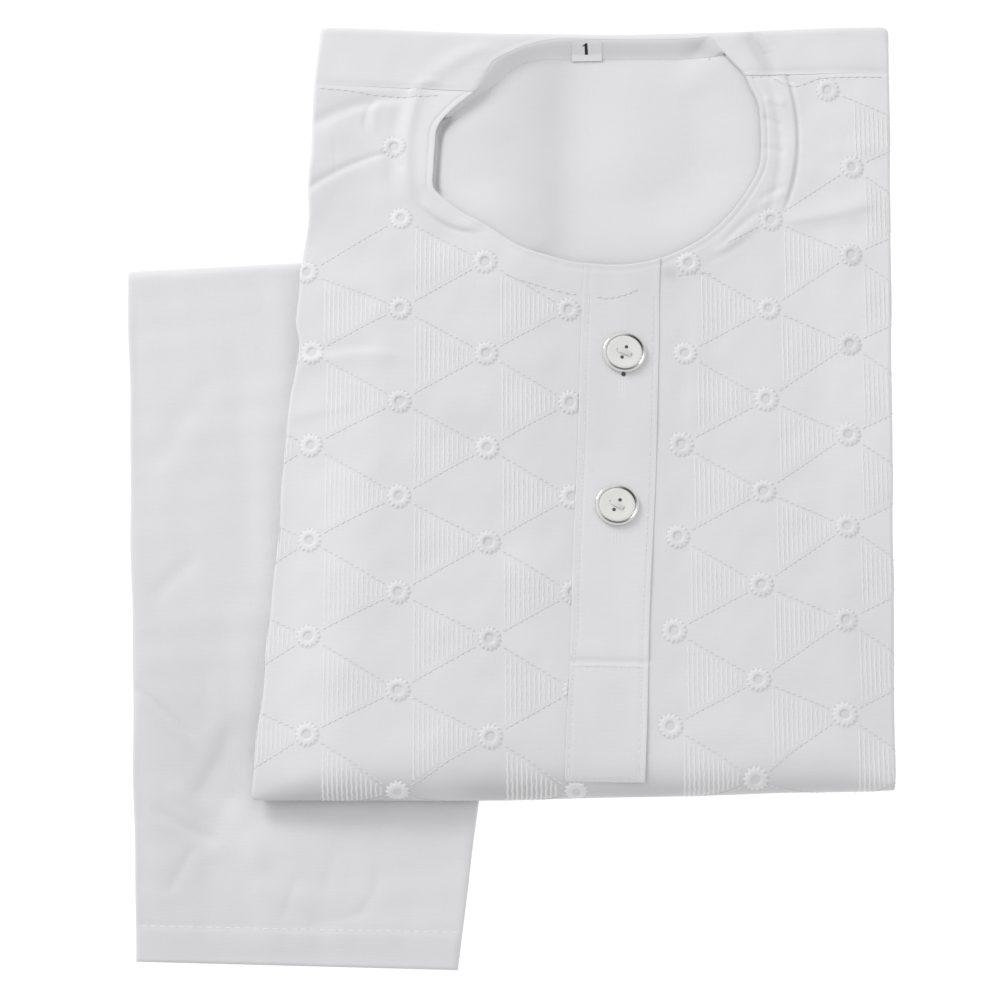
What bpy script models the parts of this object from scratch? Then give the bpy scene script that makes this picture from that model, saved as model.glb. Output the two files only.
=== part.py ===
"""A small child's white cotton shalwar kameez, folded flat as for a shelf.

The kameez, a collarless tunic with an embroidered front and a buttoned placket, is folded to a packet
and lies on its folded straight-leg shalwar. Lengths here are millimetres: X runs to the right across the
chest, Y from the lower fold to the shoulders, Z up from the surface. The meshes are written in metres.
"""

import math

import bpy
import numpy as np

METRE = 0.001
CLOTH = 1.0  # one wall of cloth with its hidden double
GAP = 0.3  # air between neighbours

# The plan places below are measured from the middle of the view; this moves the whole set so that
# the middle of its box stands over the origin.
SHIFT_X = -3.8
SHIFT_Y = -7.3

# Kameez: corners of the folded packet, counter-clockwise: name, x, y, radius
KAMEEZ_CORNERS = (
    ("shoulder_left", -63.2, 168.3, 2.5),
    ("armhole_left", -65.0, 100.0, 60.0),
    ("fold_left", -81.2, -100.1, 1.4),
    ("fold_right", 128.0, -96.5, 2.0),
    ("shoulder_right", 134.8, 169.0, 4.5),
    ("neck_back", 36.0, 165.6, 400.0),
)
KAMEEZ_HEIGHT = 12.0  # the whole packet
BACK_SLEEVE_TOP = 5.2
BACK_SLEEVE_BOTTOM = 3.6
SLEEVE_DEPTH = 43.0  # how far a folded sleeve reaches in from the side
SLEEVE_TOP_Y = 138.0
SLEEVE_END_Y = -48.0
PANEL_NECK = 7.5  # underside of the back panel below the neck opening
PANEL_CHEST = 9.6  # and below the chest, where it lies right under the front
PANEL_RISE_Y = (72.0, 22.0)  # where it climbs from one to the other
PANEL_START_Y = 142.0
PANEL_END_Y = -82.0
PANEL_ROWS = 14
PANEL_MARGIN = 3.4  # how far the panel's sides stay in from the packet's
PANEL_TAPER = 4.0  # and how much further by its end
PANEL_TAPER_Y = (-45.0, -75.0)
SEAM_LEFT_Y = 147.0  # shoulder seams, where they meet the sides
SEAM_RIGHT_Y = 149.5
FOLD_REACH = 9.0  # how far in the lower fold rounds off
SIDE_REACH = 3.5  # and the sides
TOP_REACH = 4.5  # and the shoulders
SIDE_HALF_DEPTH = 2.3  # half the height of the rounded side of the front
FOLD_SPREAD = 26.0  # length over which the lower fold's depth fades out along the sides
FRONT_SHARES = (0.0, 0.06, 0.14, 0.24, 0.35, 0.47, 0.60, 0.73, 0.86, 1.0)  # rows from the neck out
EDGE_TURNS = (28.0, 56.0, 90.0, 122.0, 150.0)  # rows round the folded edge, in degrees
TOP_TURNS = (32.0, 62.0, 90.0, 122.0, 152.0, 180.0)  # and round the fold of the shoulders

# Directions from the neck's middle, in degrees, that stand opposite stations of the outline
NECK_ANGLES = {
    "front seam left": 156.4,
    "fold_left": 243.0,
    "fold_right": 294.0,
    "front seam right": 388.8,
    "back seam right": 29.6,
    "shoulder_right": 36.0,
    "yoke right": 44.5,
    "yoke left": 131.0,
    "shoulder_left": 150.5,
    "back seam left": 155.6,
}
YOKE_RIGHT_LENGTH = 59.0  # lengths from the right shoulder to where the neck's back edge ends
YOKE_LEFT_LENGTH = 134.0

# Hidden layers: the middle of the stack as seen from each side, and the layered edge
STACK_MIDDLE = ((-25.0, 120.0), (-30.0, -45.0), (85.0, -45.0), (90.0, 120.0))
STACK_COUNTS = (16, 12, 16, 12)  # columns along the left, the lower fold, the right and the shoulders
# Height in the stack, inset at the sides and shoulders, inset inside the lower fold. The two rows
# marked "sleeve" are the slot that a folded sleeve lies in.
LAYER_EDGE = (
    (0.0, 2.2, 6.0),
    (0.9, 0.3, 3.6),
    (1.7, 1.0, 3.2),
    (2.5, 0.2, 2.6),
    (3.2, 1.0, 2.2),
    (3.25, "sleeve", 3.0),
    (5.55, "sleeve", 3.0),
    (5.6, 1.2, 2.4),
    (6.2, 0.4, 2.4),
    (6.7, 1.4, 2.5),
)
# Above those the skin covers the layers: share of the height left to their top, and the same insets
SHELTERED_EDGE = ((0.02, 3.4, 2.6), (0.6, 3.6, 3.2), (1.0, 5.5, 5.5))
RING_SHARES = (0.12, 0.28, 0.44, 0.6, 0.76, 0.9)
FOLDS_CLEAR = 0.8  # air between the hidden layers and the back panel
# Rows of a folded sleeve: inset from the side, share of its half thickness
SLEEVE_ROWS = ((0.6, 0.35), (1.0, 0.8), (2.4, 1.0), (12.0, 1.0), (28.0, 1.0), (SLEEVE_DEPTH, 1.0))

# Neck opening: an oval, wider than deep, with one squarer corner at the back
NECK_X, NECK_Y = 32.5, 121.0
NECK_HALF_WIDTH = 56.5
NECK_DEPTH = 41.0
NECK_POWER_FRONT = 2.0
NECK_POWER_BACK_LEFT = 2.15
NECK_POWER_BACK_RIGHT = 3.7
NECK_LIFT = 0.9  # how far the neck edge stands up from the chest
NECK_LIFT_REACH = 9.0
FACING_WIDTH = 11.0

# Placket: left edge, right edge and ends, leaning with the front
PLACKET_TOP = (28.2, 55.0, 79.0)
PLACKET_FOOT = (21.0, 47.0, -94.4)
PLACKET_BOX_Y = -56.8  # seam across, above the stitched end
PLACKET_WALL = 1.1
PLACKET_LIFT = 0.45  # air under it
PLACKET_BOX_ROWS = (-66.0, -77.0, -88.0, -91.5)
BUTTON_PLACES = ((41.6, 49.7), (38.7, -2.8))
BUTTON_RADIUS = 7.2
BUTTON_GAP = 0.35
# From its underside up: radius, height
BUTTON_PROFILE = (
    (5.2, 0.0),
    (6.6, 0.3),
    (BUTTON_RADIUS, 1.2),
    (6.9, 2.2),
    (6.2, 2.6),
    (5.5, 2.3),
    (4.9, 1.8),
    (2.4, 1.5),
)
LABEL_SIZE = (10.0, 6.0)
LABEL_PLACE = (30.5, 158.3)

# Largest creases of the front: name, x and y of one end, of the other, half width, height
FRONT_FOLDS = (
    ("under the shoulder seam", -63.0, 130.6, -30.0, 142.0, 5.0, 0.9),
    ("at the armhole", -64.0, 106.8, -33.0, 118.5, 5.0, 0.9),
    ("at the side", -68.0, 47.6, -33.0, 46.8, 5.0, 0.5),
    ("right of the neck", 99.0, 97.5, 121.0, 103.6, 5.0, 0.6),
    ("neck band, right", 101.0, 139.0, 97.0, 106.0, 5.0, 0.8),
)

# Shalwar: corners of its folded legs: name, x, y, radius
SHALWAR_CORNERS = (
    ("knee_left", -127.0, 81.0, 1.5),
    ("hem_left", -117.3, -151.2, 1.0),
    ("hem_right", -14.0, -154.2, 1.0),
    ("knee_right", 14.8, 89.0, 4.0),
)
SHALWAR_HEIGHT = 6.6
SHALWAR_EDGE = 3.4  # how far in its side folds round off
LEG_LENGTH = 236.0  # from the hem to the knee fold
LEG_WIDTH = 122.0  # at the middle
KNEE_REACH = 4.0  # how far in the knee fold rounds off
LEG_ACROSS = np.array([0.0, 0.006, 0.02, 0.05, 0.15, 0.30, 0.45, 0.60, 0.75, 0.87, 0.95, 0.98, 0.994, 1.0])
LEG_ROWS_ABOVE = (26.0, 44.0, 62.0, 80.0, 100.0, 120.0, 142.0, 165.0, 190.0, 215.0)
LEG_ROWS_BELOW = (200.0, 150.0, 100.0, 50.0, 6.0)
KNEE_TURNS = (30.0, 60.0, 90.0, 120.0, 150.0)
HEM_DEPTH = 11.5
HEM_RAISE = 0.35
WAISTBAND_DEPTH = 24.0
WAISTBAND_GATHERS = 16
SLAB_WIDTH = 110.0
SLAB_EDGE = 2.2
LAYER_LEG = (4.05, 5.2)  # bottom and top of the second leg between the faces of the first
LAYER_FOLDS = (1.4, 3.7)  # and of what is folded below it
SHALWAR_FOLDS = (
    ("down the thigh", -118.0, 30.0, -92.0, -40.0, 12.0, 0.5),
    ("across the calf", -103.0, -88.0, -80.0, -66.0, 8.0, 0.5),
    ("above the hem", -60.0, -131.0, -34.0, -133.0, 7.0, 0.4),
)

WHITE_COTTON = (0.78, 0.78, 0.80)


def smoothstep(t):
    """0 below 0, 1 above 1 and a smooth rise between."""
    t = np.clip(t, 0.0, 1.0)
    return t * t * (3.0 - 2.0 * t)


class Outline:
    """A closed plan outline with rounded corners, read by its length."""

    def __init__(self, corners, arc_steps=8):
        places = np.array([row[1:3] for row in corners], float)
        points = []
        for i, (_, _, _, radius) in enumerate(corners):
            before, here, after = places[i - 1], places[i], places[(i + 1) % len(places)]
            a, b = here - before, after - here
            length = min(np.linalg.norm(a), np.linalg.norm(b))
            a, b = a / np.linalg.norm(a), b / np.linalg.norm(b)
            turn = math.acos(np.clip(a @ b, -1.0, 1.0))
            reach = min(radius * math.tan(turn / 2), 0.45 * length)
            start, end = here - a * reach, here + b * reach
            for t in np.linspace(0.0, 1.0, arc_steps):
                points.append((1 - t) ** 2 * start + 2 * t * (1 - t) * here + t * t * end)
        self.names = [row[0] for row in corners]
        self.points = np.array(points)
        steps = np.linalg.norm(np.roll(self.points, -1, axis=0) - self.points, axis=1)
        self.lengths = np.concatenate([[0.0], np.cumsum(steps)])
        self.total = self.lengths[-1]
        self.corner_at = {
            name: self.lengths[i * arc_steps + arc_steps // 2] for i, name in enumerate(self.names)
        }

    def at(self, length):
        """The points at these lengths along the outline."""
        length = np.asarray(length) % self.total
        closed = np.vstack([self.points, self.points[:1]])
        return np.stack([np.interp(length, self.lengths, closed[:, k]) for k in (0, 1)], axis=-1)

    def inward_normal(self, length, reach=1.5):
        """The unit normals that point into the outline there."""
        along = self.at(np.asarray(length) + reach) - self.at(np.asarray(length) - reach)
        normal = np.stack([-along[..., 1], along[..., 0]], axis=-1)
        return normal / np.linalg.norm(normal, axis=-1, keepdims=True)

    def side_at_y(self, y, start, end):
        """The length between two corners at which the outline passes this y."""
        a, b = self.corner_at[start], self.corner_at[end]
        if b < a:
            b += self.total
        lengths = np.linspace(a, b, 400)
        heights = self.at(lengths)[:, 1]
        order = np.argsort(heights)
        return float(np.interp(y, heights[order], lengths[order]))


KAMEEZ = Outline(KAMEEZ_CORNERS)


def corner(rows, name):
    """A corner's place in its table."""
    return next(np.array(row[1:3]) for row in rows if row[0] == name)


def beyond_shalwar(x, y):
    """How far a point of the plan lies outside the shalwar, towards the right or the shoulders."""
    foot, knee = corner(SHALWAR_CORNERS, "hem_right"), corner(SHALWAR_CORNERS, "knee_right")
    far_knee = corner(SHALWAR_CORNERS, "knee_left")
    side = (knee - foot) / np.linalg.norm(knee - foot)
    top = (knee - far_knee) / np.linalg.norm(knee - far_knee)
    right = (x - foot[0]) * side[1] - (y - foot[1]) * side[0]
    above = -(x - knee[0]) * top[1] + (y - knee[1]) * top[0]
    outside = np.hypot(np.maximum(right, 0.0), np.maximum(above, 0.0))
    return np.where(outside > 0.0, outside, np.maximum(right, above))


def support(x, y):
    """The height of what the kameez lies on: the shalwar, and the floor past its edge."""
    return (SHALWAR_HEIGHT + GAP) * (1.0 - smoothstep((beyond_shalwar(x, y) - 8.0) / 35.0))


def sag(x, y):
    """The same, as the stiffer layers above feel it: a longer, softer slope."""
    return (SHALWAR_HEIGHT + GAP) * (1.0 - smoothstep((beyond_shalwar(x, y) + 15.0) / 75.0))


def level(x, y, height):
    """The height above the floor of a point this high in the kameez's stack."""
    low = np.clip(1.0 - np.asarray(height) / 5.0, 0.0, 1.0) ** 2
    soft = sag(x, y)
    return height + soft + (support(x, y) - soft) * low


def ridges(x, y, rows):
    """The height that a table of soft creases adds at a point."""
    total = np.zeros(np.broadcast(x, y).shape)
    for _, x1, y1, x2, y2, half_width, height in rows:
        along = np.array([x2 - x1, y2 - y1])
        length = np.linalg.norm(along)
        along = along / length
        t = ((x - x1) * along[0] + (y - y1) * along[1]) / length
        across = -(x - x1) * along[1] + (y - y1) * along[0]
        ends = smoothstep((t + 0.15) / 0.3) * smoothstep((1.15 - t) / 0.3)
        total = total + height * ends * np.exp(-((across / half_width) ** 2))
    return total


def neck_radius(angle):
    """The distance from the neck's middle to its edge, in a direction in radians."""
    c, s = np.cos(angle), np.sin(angle)
    back = np.where(c < 0.0, NECK_POWER_BACK_LEFT, NECK_POWER_BACK_RIGHT)
    power = np.where(s > 0.0, back, NECK_POWER_FRONT)
    sides = np.abs(c / NECK_HALF_WIDTH) ** power + np.abs(s / NECK_DEPTH) ** power
    return sides ** (-1.0 / power)


def neck_point(angle, outside=0.0):
    """The point of the neck's edge in a direction, or this far outside it."""
    reach = neck_radius(angle) + outside
    return np.stack([NECK_X + reach * np.cos(angle), NECK_Y + reach * np.sin(angle)], axis=-1)


def front_relief(x, y):
    """What stands up from the smooth chest: the neck edge and the largest creases."""
    dx, dy = x - NECK_X, y - NECK_Y
    angle = np.arctan2(dy, dx)
    away = np.hypot(dx, dy) - neck_radius(angle)
    front = smoothstep((-np.sin(angle) - 0.55) / 0.4)  # the placket keeps the front of the neck flat
    lift = NECK_LIFT * (1.0 - 0.6 * front) * np.exp(-((np.maximum(away, 0.0) / NECK_LIFT_REACH) ** 2))
    return lift + ridges(x, y, FRONT_FOLDS)


def front_bottom_inset(x, y):
    """How far in from the lower fold a point lies."""
    left, right = corner(KAMEEZ_CORNERS, "fold_left"), corner(KAMEEZ_CORNERS, "fold_right")
    along = (right - left) / np.linalg.norm(right - left)
    return -(x - left[0]) * along[1] + (y - left[1]) * along[0]


def front_top(x, y):
    """The outer surface of the front, from the neck to the lower fold."""
    inset = np.clip(front_bottom_inset(x, y) / FOLD_REACH, 0.0, 1.0)
    half = KAMEEZ_HEIGHT / 2
    height = half + half * np.sqrt(1.0 - (1.0 - inset) ** 2)
    return level(x, y, height) + front_relief(x, y)


def panel_bottom(x, y):
    """The underside of the back panel, in the kameez's stack."""
    high, low = PANEL_RISE_Y
    rise = smoothstep((high - y) / (high - low))
    return np.broadcast_to(PANEL_NECK + (PANEL_CHEST - PANEL_NECK) * rise, np.broadcast(x, y).shape)


def material(name, roughness=0.9, metallic=0.0, colour=WHITE_COTTON):
    """A plain finish of this colour."""
    made = bpy.data.materials.new(name)
    made.use_nodes = True
    shader = made.node_tree.nodes["Principled BSDF"]
    shader.inputs["Base Color"].default_value = (*colour, 1.0)
    shader.inputs["Roughness"].default_value = roughness
    shader.inputs["Metallic"].default_value = metallic
    return made


def add_object(name, points, faces, finish):
    """One named mesh object, from points in millimetres."""
    points = np.asarray(points, float) + (SHIFT_X, SHIFT_Y, 0.0)
    mesh = bpy.data.meshes.new(name)
    mesh.from_pydata((points * METRE).tolist(), [], faces)
    mesh.validate()
    mesh.materials.append(finish)
    mesh.shade_smooth()
    mesh.set_sharp_from_angle(angle=math.radians(50))
    made = bpy.data.objects.new(name, mesh)
    bpy.context.scene.collection.objects.link(made)
    return made


def quads(rows, columns, closed, start=0, flip=False):
    """The faces of a grid of points, row by row."""
    faces = []
    for i in range(rows - 1):
        for j in range(columns if closed else columns - 1):
            k = (j + 1) % columns
            face = (i * columns + j, i * columns + k, (i + 1) * columns + k, (i + 1) * columns + j)
            faces.append(tuple(start + v for v in (face[::-1] if flip else face)))
    return faces


def grid_normals(grid, closed):
    """Unit normals of a grid, along its rows crossed with along its columns."""
    if closed:
        along = np.roll(grid, -1, axis=1) - np.roll(grid, 1, axis=1)
    else:
        along = np.gradient(grid, axis=1)
    down = np.gradient(grid, axis=0)
    normal = np.cross(along, down)
    return normal / np.maximum(np.linalg.norm(normal, axis=-1, keepdims=True), 1e-9)


def shell(name, outer, inner, finish, closed=False):
    """A wall between two grids of the same size: outer's faces look out, inner's look in."""
    rows, columns = outer.shape[:2]
    count = rows * columns
    points = np.vstack([outer.reshape(-1, 3), inner.reshape(-1, 3)])
    faces = quads(rows, columns, closed)
    faces += quads(rows, columns, closed, start=count, flip=True)
    rim = range(columns if closed else columns - 1)
    for j in rim:
        k = (j + 1) % columns
        faces.append((k, j, count + j, count + k))
        last = (rows - 1) * columns
        faces.append((last + j, last + k, count + last + k, count + last + j))
    if not closed:
        for i in range(rows - 1):
            a, b = i * columns, (i + 1) * columns
            faces.append((a, b, count + b, count + a))
            faces.append((b + columns - 1, a + columns - 1, count + a + columns - 1, count + b + columns - 1))
    return add_object(name, points, faces, finish)


def rings(name, loops, finish):
    """A closed body through rings of the same number of points, from its underside to its top."""
    count = len(loops[0])
    points = np.vstack(loops)
    faces = quads(len(loops), count, True)
    centres = [loops[0].mean(axis=0), loops[-1].mean(axis=0)]
    low, high = len(points), len(points) + 1
    last = (len(loops) - 1) * count
    for j in range(count):
        k = (j + 1) % count
        faces.append((k, j, low))
        faces.append((last + j, last + k, high))
    return add_object(name, np.vstack([points, centres]), faces, finish)


def spaced(start, end, count, margin):
    """Lengths from one corner to the next: the corner, a margin past it, even steps, a margin before."""
    inner = np.linspace(start + margin, end - margin, count)
    return np.concatenate([[start], inner])


def skin_columns(stations, counts, margin=2.5):
    """Outline lengths and neck angles of the columns between named stations."""
    lengths, angles = [], []
    for (a_length, a_angle), (b_length, b_angle), count in zip(stations, stations[1:], counts):
        row = spaced(a_length, b_length, count, margin)
        lengths.append(row)
        angles.append(a_angle + (b_angle - a_angle) * (row - a_length) / (b_length - a_length))
    lengths.append([stations[-1][0]])
    angles.append([stations[-1][1]])
    return np.concatenate(lengths), np.concatenate(angles)


def neck_angle(name):
    """A station's direction from the neck's middle, in radians."""
    return math.radians(NECK_ANGLES[name])


def rays(lengths, angles):
    """Outline points, neck points, and the unit way in with its cosine to the outline's normal."""
    edge, neck = KAMEEZ.at(lengths), neck_point(angles)
    way = neck - edge
    way /= np.linalg.norm(way, axis=1, keepdims=True)
    cosine = np.clip((way * KAMEEZ.inward_normal(lengths)).sum(axis=1), 0.35, 1.0)
    return edge, neck, way, cosine


def kameez_front(finish):
    """The front panel: from the neck edge and shoulder seams out, over the sides and the lower fold."""
    start = KAMEEZ.side_at_y(SEAM_LEFT_Y, "shoulder_left", "armhole_left") + GAP
    end = KAMEEZ.side_at_y(SEAM_RIGHT_Y, "fold_right", "shoulder_right") - GAP
    left, right = KAMEEZ.corner_at["fold_left"], KAMEEZ.corner_at["fold_right"]
    stations = (
        (start, neck_angle("front seam left")),
        (left, neck_angle("fold_left")),
        (right, neck_angle("fold_right")),
        (end, neck_angle("front seam right")),
    )
    lengths, angles = skin_columns(stations, (17, 15, 17))
    edge, neck, way, cosine = rays(lengths, angles)
    from_fold = np.maximum(np.maximum(left - lengths, lengths - right), 0.0)
    deep = 1.0 - smoothstep(from_fold / FOLD_SPREAD)  # 1 along the lower fold, 0 along the sides
    half = SIDE_HALF_DEPTH + (KAMEEZ_HEIGHT / 2 - SIDE_HALF_DEPTH) * deep
    reach = SIDE_REACH + (FOLD_REACH - SIDE_REACH) * deep
    low_reach = 1.5 + 1.5 * deep
    begin = edge + way * (reach / cosine)[:, None]
    rows = []
    for t in FRONT_SHARES:
        plan = neck + (begin - neck) * t
        x, y = plan[:, 0], plan[:, 1]
        rows.append(np.column_stack([plan, level(x, y, KAMEEZ_HEIGHT) + front_relief(x, y)]))
    for turn in np.radians(EDGE_TURNS):
        inset = np.where(turn < math.pi / 2, reach, low_reach) * (1.0 - math.sin(turn))
        plan = edge + way * (inset / cosine)[:, None]
        x, y = plan[:, 0], plan[:, 1]
        height = KAMEEZ_HEIGHT - half + half * math.cos(turn)
        fade = max(math.cos(turn), 0.0)
        rows.append(np.column_stack([plan, level(x, y, height) + fade * front_relief(x, y)]))
    outer = np.array(rows)[:, ::-1]
    normal = grid_normals(outer, False)
    normal[0] = normal[1]
    return shell("kameez_front", outer, outer - normal * CLOTH, finish)


def panel_rows(wrapped):
    """The back panel inside the packet, row by row, from the points where it leaves the top fold."""
    even = np.linspace(1.0, 0.0, len(wrapped))
    across = 0.3 * even + 0.7 * (wrapped[:, 0] - wrapped[:, 0].min()) / np.ptp(wrapped[:, 0])
    rows = []
    for i, row_y in enumerate(np.linspace(PANEL_START_Y, PANEL_END_Y, PANEL_ROWS)):
        margin = PANEL_MARGIN + PANEL_TAPER * smoothstep((PANEL_TAPER_Y[0] - row_y) / (PANEL_TAPER_Y[0] - PANEL_TAPER_Y[1]))
        left = KAMEEZ.at(KAMEEZ.side_at_y(row_y, "shoulder_left", "fold_left"))[0] + margin
        right = KAMEEZ.at(KAMEEZ.side_at_y(row_y, "fold_right", "shoulder_right"))[0] - margin
        straight = np.column_stack([left + (right - left) * across, np.full(len(across), row_y)])
        share = min(1.0, (i + 1) / 3)
        x, y = (wrapped + (straight - wrapped) * share).T
        rows.append(np.column_stack([x, y, level(x, y, panel_bottom(x, y))]))
    return rows


def kameez_back(finish):
    """The back: the yoke over the shoulders, the top fold, and the panel inside below the neck."""
    start = KAMEEZ.side_at_y(SEAM_RIGHT_Y, "fold_right", "shoulder_right") + GAP
    right = KAMEEZ.corner_at["shoulder_right"]
    end = KAMEEZ.side_at_y(SEAM_LEFT_Y, "shoulder_left", "armhole_left") - GAP + KAMEEZ.total
    stations = (
        (start, neck_angle("back seam right")),
        (right, neck_angle("shoulder_right")),
        (right + YOKE_RIGHT_LENGTH, neck_angle("yoke right")),
        (right + YOKE_LEFT_LENGTH, neck_angle("yoke left")),
        (KAMEEZ.corner_at["shoulder_left"] + KAMEEZ.total, neck_angle("shoulder_left")),
        (end, neck_angle("back seam left")),
    )
    lengths, angles = skin_columns(stations, (3, 6, 8, 6, 3))
    edge, neck, way, cosine = rays(lengths, angles)
    top, bottom = KAMEEZ_HEIGHT, PANEL_NECK
    middle, half = (top + bottom) / 2, (top - bottom) / 2
    begin = edge + way * (TOP_REACH / cosine)[:, None]
    span = ((begin - neck) * -way).sum(axis=1)
    begin = np.where((span < 0.4)[:, None], neck - way * 0.4, begin)
    rows = []
    for t in (0.0, 0.4, 1.0):
        plan = neck + (begin - neck) * t
        x, y = plan[:, 0], plan[:, 1]
        rows.append(np.column_stack([plan, level(x, y, top) + front_relief(x, y)]))
    first = ((edge - begin) * -way).sum(axis=1) * cosine
    for turn in np.radians(TOP_TURNS):
        upper = turn < math.pi / 2
        inset = (first if upper else 3.0) * (1.0 - math.sin(turn))
        plan = edge + way * (inset / cosine)[:, None]
        x, y = plan[:, 0], plan[:, 1]
        height = middle + half * math.cos(turn)
        fade = max(math.cos(turn), 0.0)
        rows.append(np.column_stack([plan, level(x, y, height) + fade * front_relief(x, y)]))
    rows += panel_rows(rows[-1][:, :2])
    outer = np.array(rows)[:, ::-1]
    normal = grid_normals(outer, False)
    return shell("kameez_back", outer, outer - normal * CLOTH, finish)


def stack_columns():
    """Columns of the packet below the skin, with the way in and its cosine at each."""
    names = [row[0] for row in KAMEEZ_CORNERS]
    at = [KAMEEZ.corner_at[name] for name in names]
    ends = ((at[0], at[2]), (at[2], at[3]), (at[3], at[4]), (at[4], at[0] + KAMEEZ.total))
    lengths, inner = [], []
    for k, ((a, b), count) in enumerate(zip(ends, STACK_COUNTS)):
        row = spaced(a, b, count, 3.0)
        share = ((row - a) / (b - a))[:, None]
        here, there = np.array(STACK_MIDDLE[k]), np.array(STACK_MIDDLE[(k + 1) % 4])
        lengths.append(row)
        inner.append(here + (there - here) * share)
    lengths, inner = np.concatenate(lengths), np.vstack(inner)
    edge = KAMEEZ.at(lengths)
    way = inner - edge
    way /= np.linalg.norm(way, axis=1, keepdims=True)
    cosine = np.clip((way * KAMEEZ.inward_normal(lengths)).sum(axis=1), 0.4, 1.0)
    return lengths, edge, way, cosine, inner


def sleeve_mask(lengths, edge):
    """Which columns lie along a folded sleeve: -1 at the left side, 1 at the right, 0 elsewhere."""
    beside = (edge[:, 1] < SLEEVE_TOP_Y) & (edge[:, 1] > SLEEVE_END_Y)
    return np.where(beside, np.where(edge[:, 0] < 0.0, -1, 1), 0)


def kameez_folds(finish):
    """The hidden layers: one rounded body with its layers at the edges and a slot for each sleeve."""
    lengths, edge, way, cosine, inner = stack_columns()
    left, right = KAMEEZ.corner_at["fold_left"], KAMEEZ.corner_at["fold_right"]
    from_fold = np.maximum(np.maximum(left - lengths, lengths - right), 0.0)
    deep = 1.0 - smoothstep((from_fold - 20.0) / 16.0)
    beside = sleeve_mask(lengths, edge)
    loops = []

    def loop(height, plan):
        return np.column_stack([plan, level(plan[:, 0], plan[:, 1], height)])

    def inset_by(inset):
        return edge + way * (inset / cosine)[:, None]

    centre = inner.mean(axis=0)
    first, last = inset_by(LAYER_EDGE[0][2]), inset_by(SHELTERED_EDGE[-1][1] + 2.5)
    for share in RING_SHARES:
        loops.append(loop(np.zeros(len(edge)), centre + (first - centre) * share))
    for height, side, fold in LAYER_EDGE:
        if side == "sleeve":
            side = np.where(beside != 0, SLEEVE_DEPTH + 1.0, LAYER_EDGE[0][1])
        loops.append(loop(np.full(len(edge), height), inset_by(side + (fold - side) * deep)))
    skin_height = LAYER_EDGE[-1][0]
    for share, side, fold in SHELTERED_EDGE:
        plan = inset_by(side + (fold - side) * deep)
        top = panel_bottom(plan[:, 0], plan[:, 1]) - FOLDS_CLEAR
        loops.append(loop(skin_height + (top - skin_height) * share, plan))
    for share in RING_SHARES[::-1]:
        plan = centre + (last - centre) * share
        loops.append(loop(panel_bottom(plan[:, 0], plan[:, 1]) - FOLDS_CLEAR, plan))
    return rings("kameez_folds", loops, finish)


def kameez_sleeve(name, side, finish):
    """A sleeve folded in behind the back: a flat slab with a round outer fold."""
    lengths, edge, way, cosine, _ = stack_columns()
    chosen = np.where(sleeve_mask(lengths, edge) == side)[0]
    edge, way, cosine = edge[chosen], way[chosen], cosine[chosen]
    middle = (BACK_SLEEVE_TOP + BACK_SLEEVE_BOTTOM) / 2
    half = (BACK_SLEEVE_TOP - BACK_SLEEVE_BOTTOM) / 2
    outer, inner = [], []
    for inset, share in SLEEVE_ROWS:
        plan = edge + way * (inset / cosine)[:, None]
        x, y = plan[:, 0], plan[:, 1]
        outer.append(np.column_stack([plan, level(x, y, middle + half * share)]))
        inner.append(np.column_stack([plan, level(x, y, middle - half * share)]))
    return shell(name, np.array(outer), np.array(inner), finish)


def neck_facing(finish):
    """The facing turned in under the neck edge: flat under the front, hanging down inside the back."""
    angles = np.linspace(0.0, 2 * math.pi, 52, endpoint=False)
    back = smoothstep((np.sin(angles) - 0.25) / 0.4)
    outer, inner = [], []
    for share in (0.0, 0.5, 1.0):
        outside = 0.1 + FACING_WIDTH * share * (1.0 - back) + (-3.2 * share) * back
        drop = CLOTH + 0.45 + 1.0 * share * back
        plan = neck_point(angles, outside - 0.6 * back)
        x, y = plan[:, 0], plan[:, 1]
        place = neck_point(angles, np.maximum(outside, 0.0))
        top = level(x, y, KAMEEZ_HEIGHT) + front_relief(place[:, 0], place[:, 1]) - drop
        outer.append(np.column_stack([plan, top]))
        inner.append(np.column_stack([plan, top - CLOTH]))
    return shell("neck_facing", np.array(outer)[:, ::-1], np.array(inner)[:, ::-1], finish, closed=True)


def placket(finish):
    """The buttoned strip down the front, from the neck edge to its stitched end."""
    ys = [*np.linspace(PLACKET_TOP[2], PLACKET_BOX_Y, 11), *PLACKET_BOX_ROWS, PLACKET_FOOT[2]]
    lower, upper = [], []
    for y in ys:
        t = (PLACKET_TOP[2] - y) / (PLACKET_TOP[2] - PLACKET_FOOT[2])
        left = PLACKET_TOP[0] + (PLACKET_FOOT[0] - PLACKET_TOP[0]) * t
        right = PLACKET_TOP[1] + (PLACKET_FOOT[1] - PLACKET_TOP[1]) * t
        x = np.linspace(left, right, 5)
        across = np.abs(np.linspace(-1.0, 1.0, 5))
        row_y = np.full(5, y)
        neck_y = NECK_Y - np.sqrt(1.0 - ((x - NECK_X) / NECK_HALF_WIDTH) ** 2) * NECK_DEPTH
        row_y = np.minimum(row_y, neck_y - 0.4) if y == ys[0] else row_y
        floor = front_top(x, row_y) + PLACKET_LIFT
        lower.append(np.column_stack([x, row_y, floor]))
        upper.append(np.column_stack([x, row_y, floor + PLACKET_WALL - 0.1 * across]))
    return shell("placket", np.array(upper)[:, ::-1], np.array(lower)[:, ::-1], finish)


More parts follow.
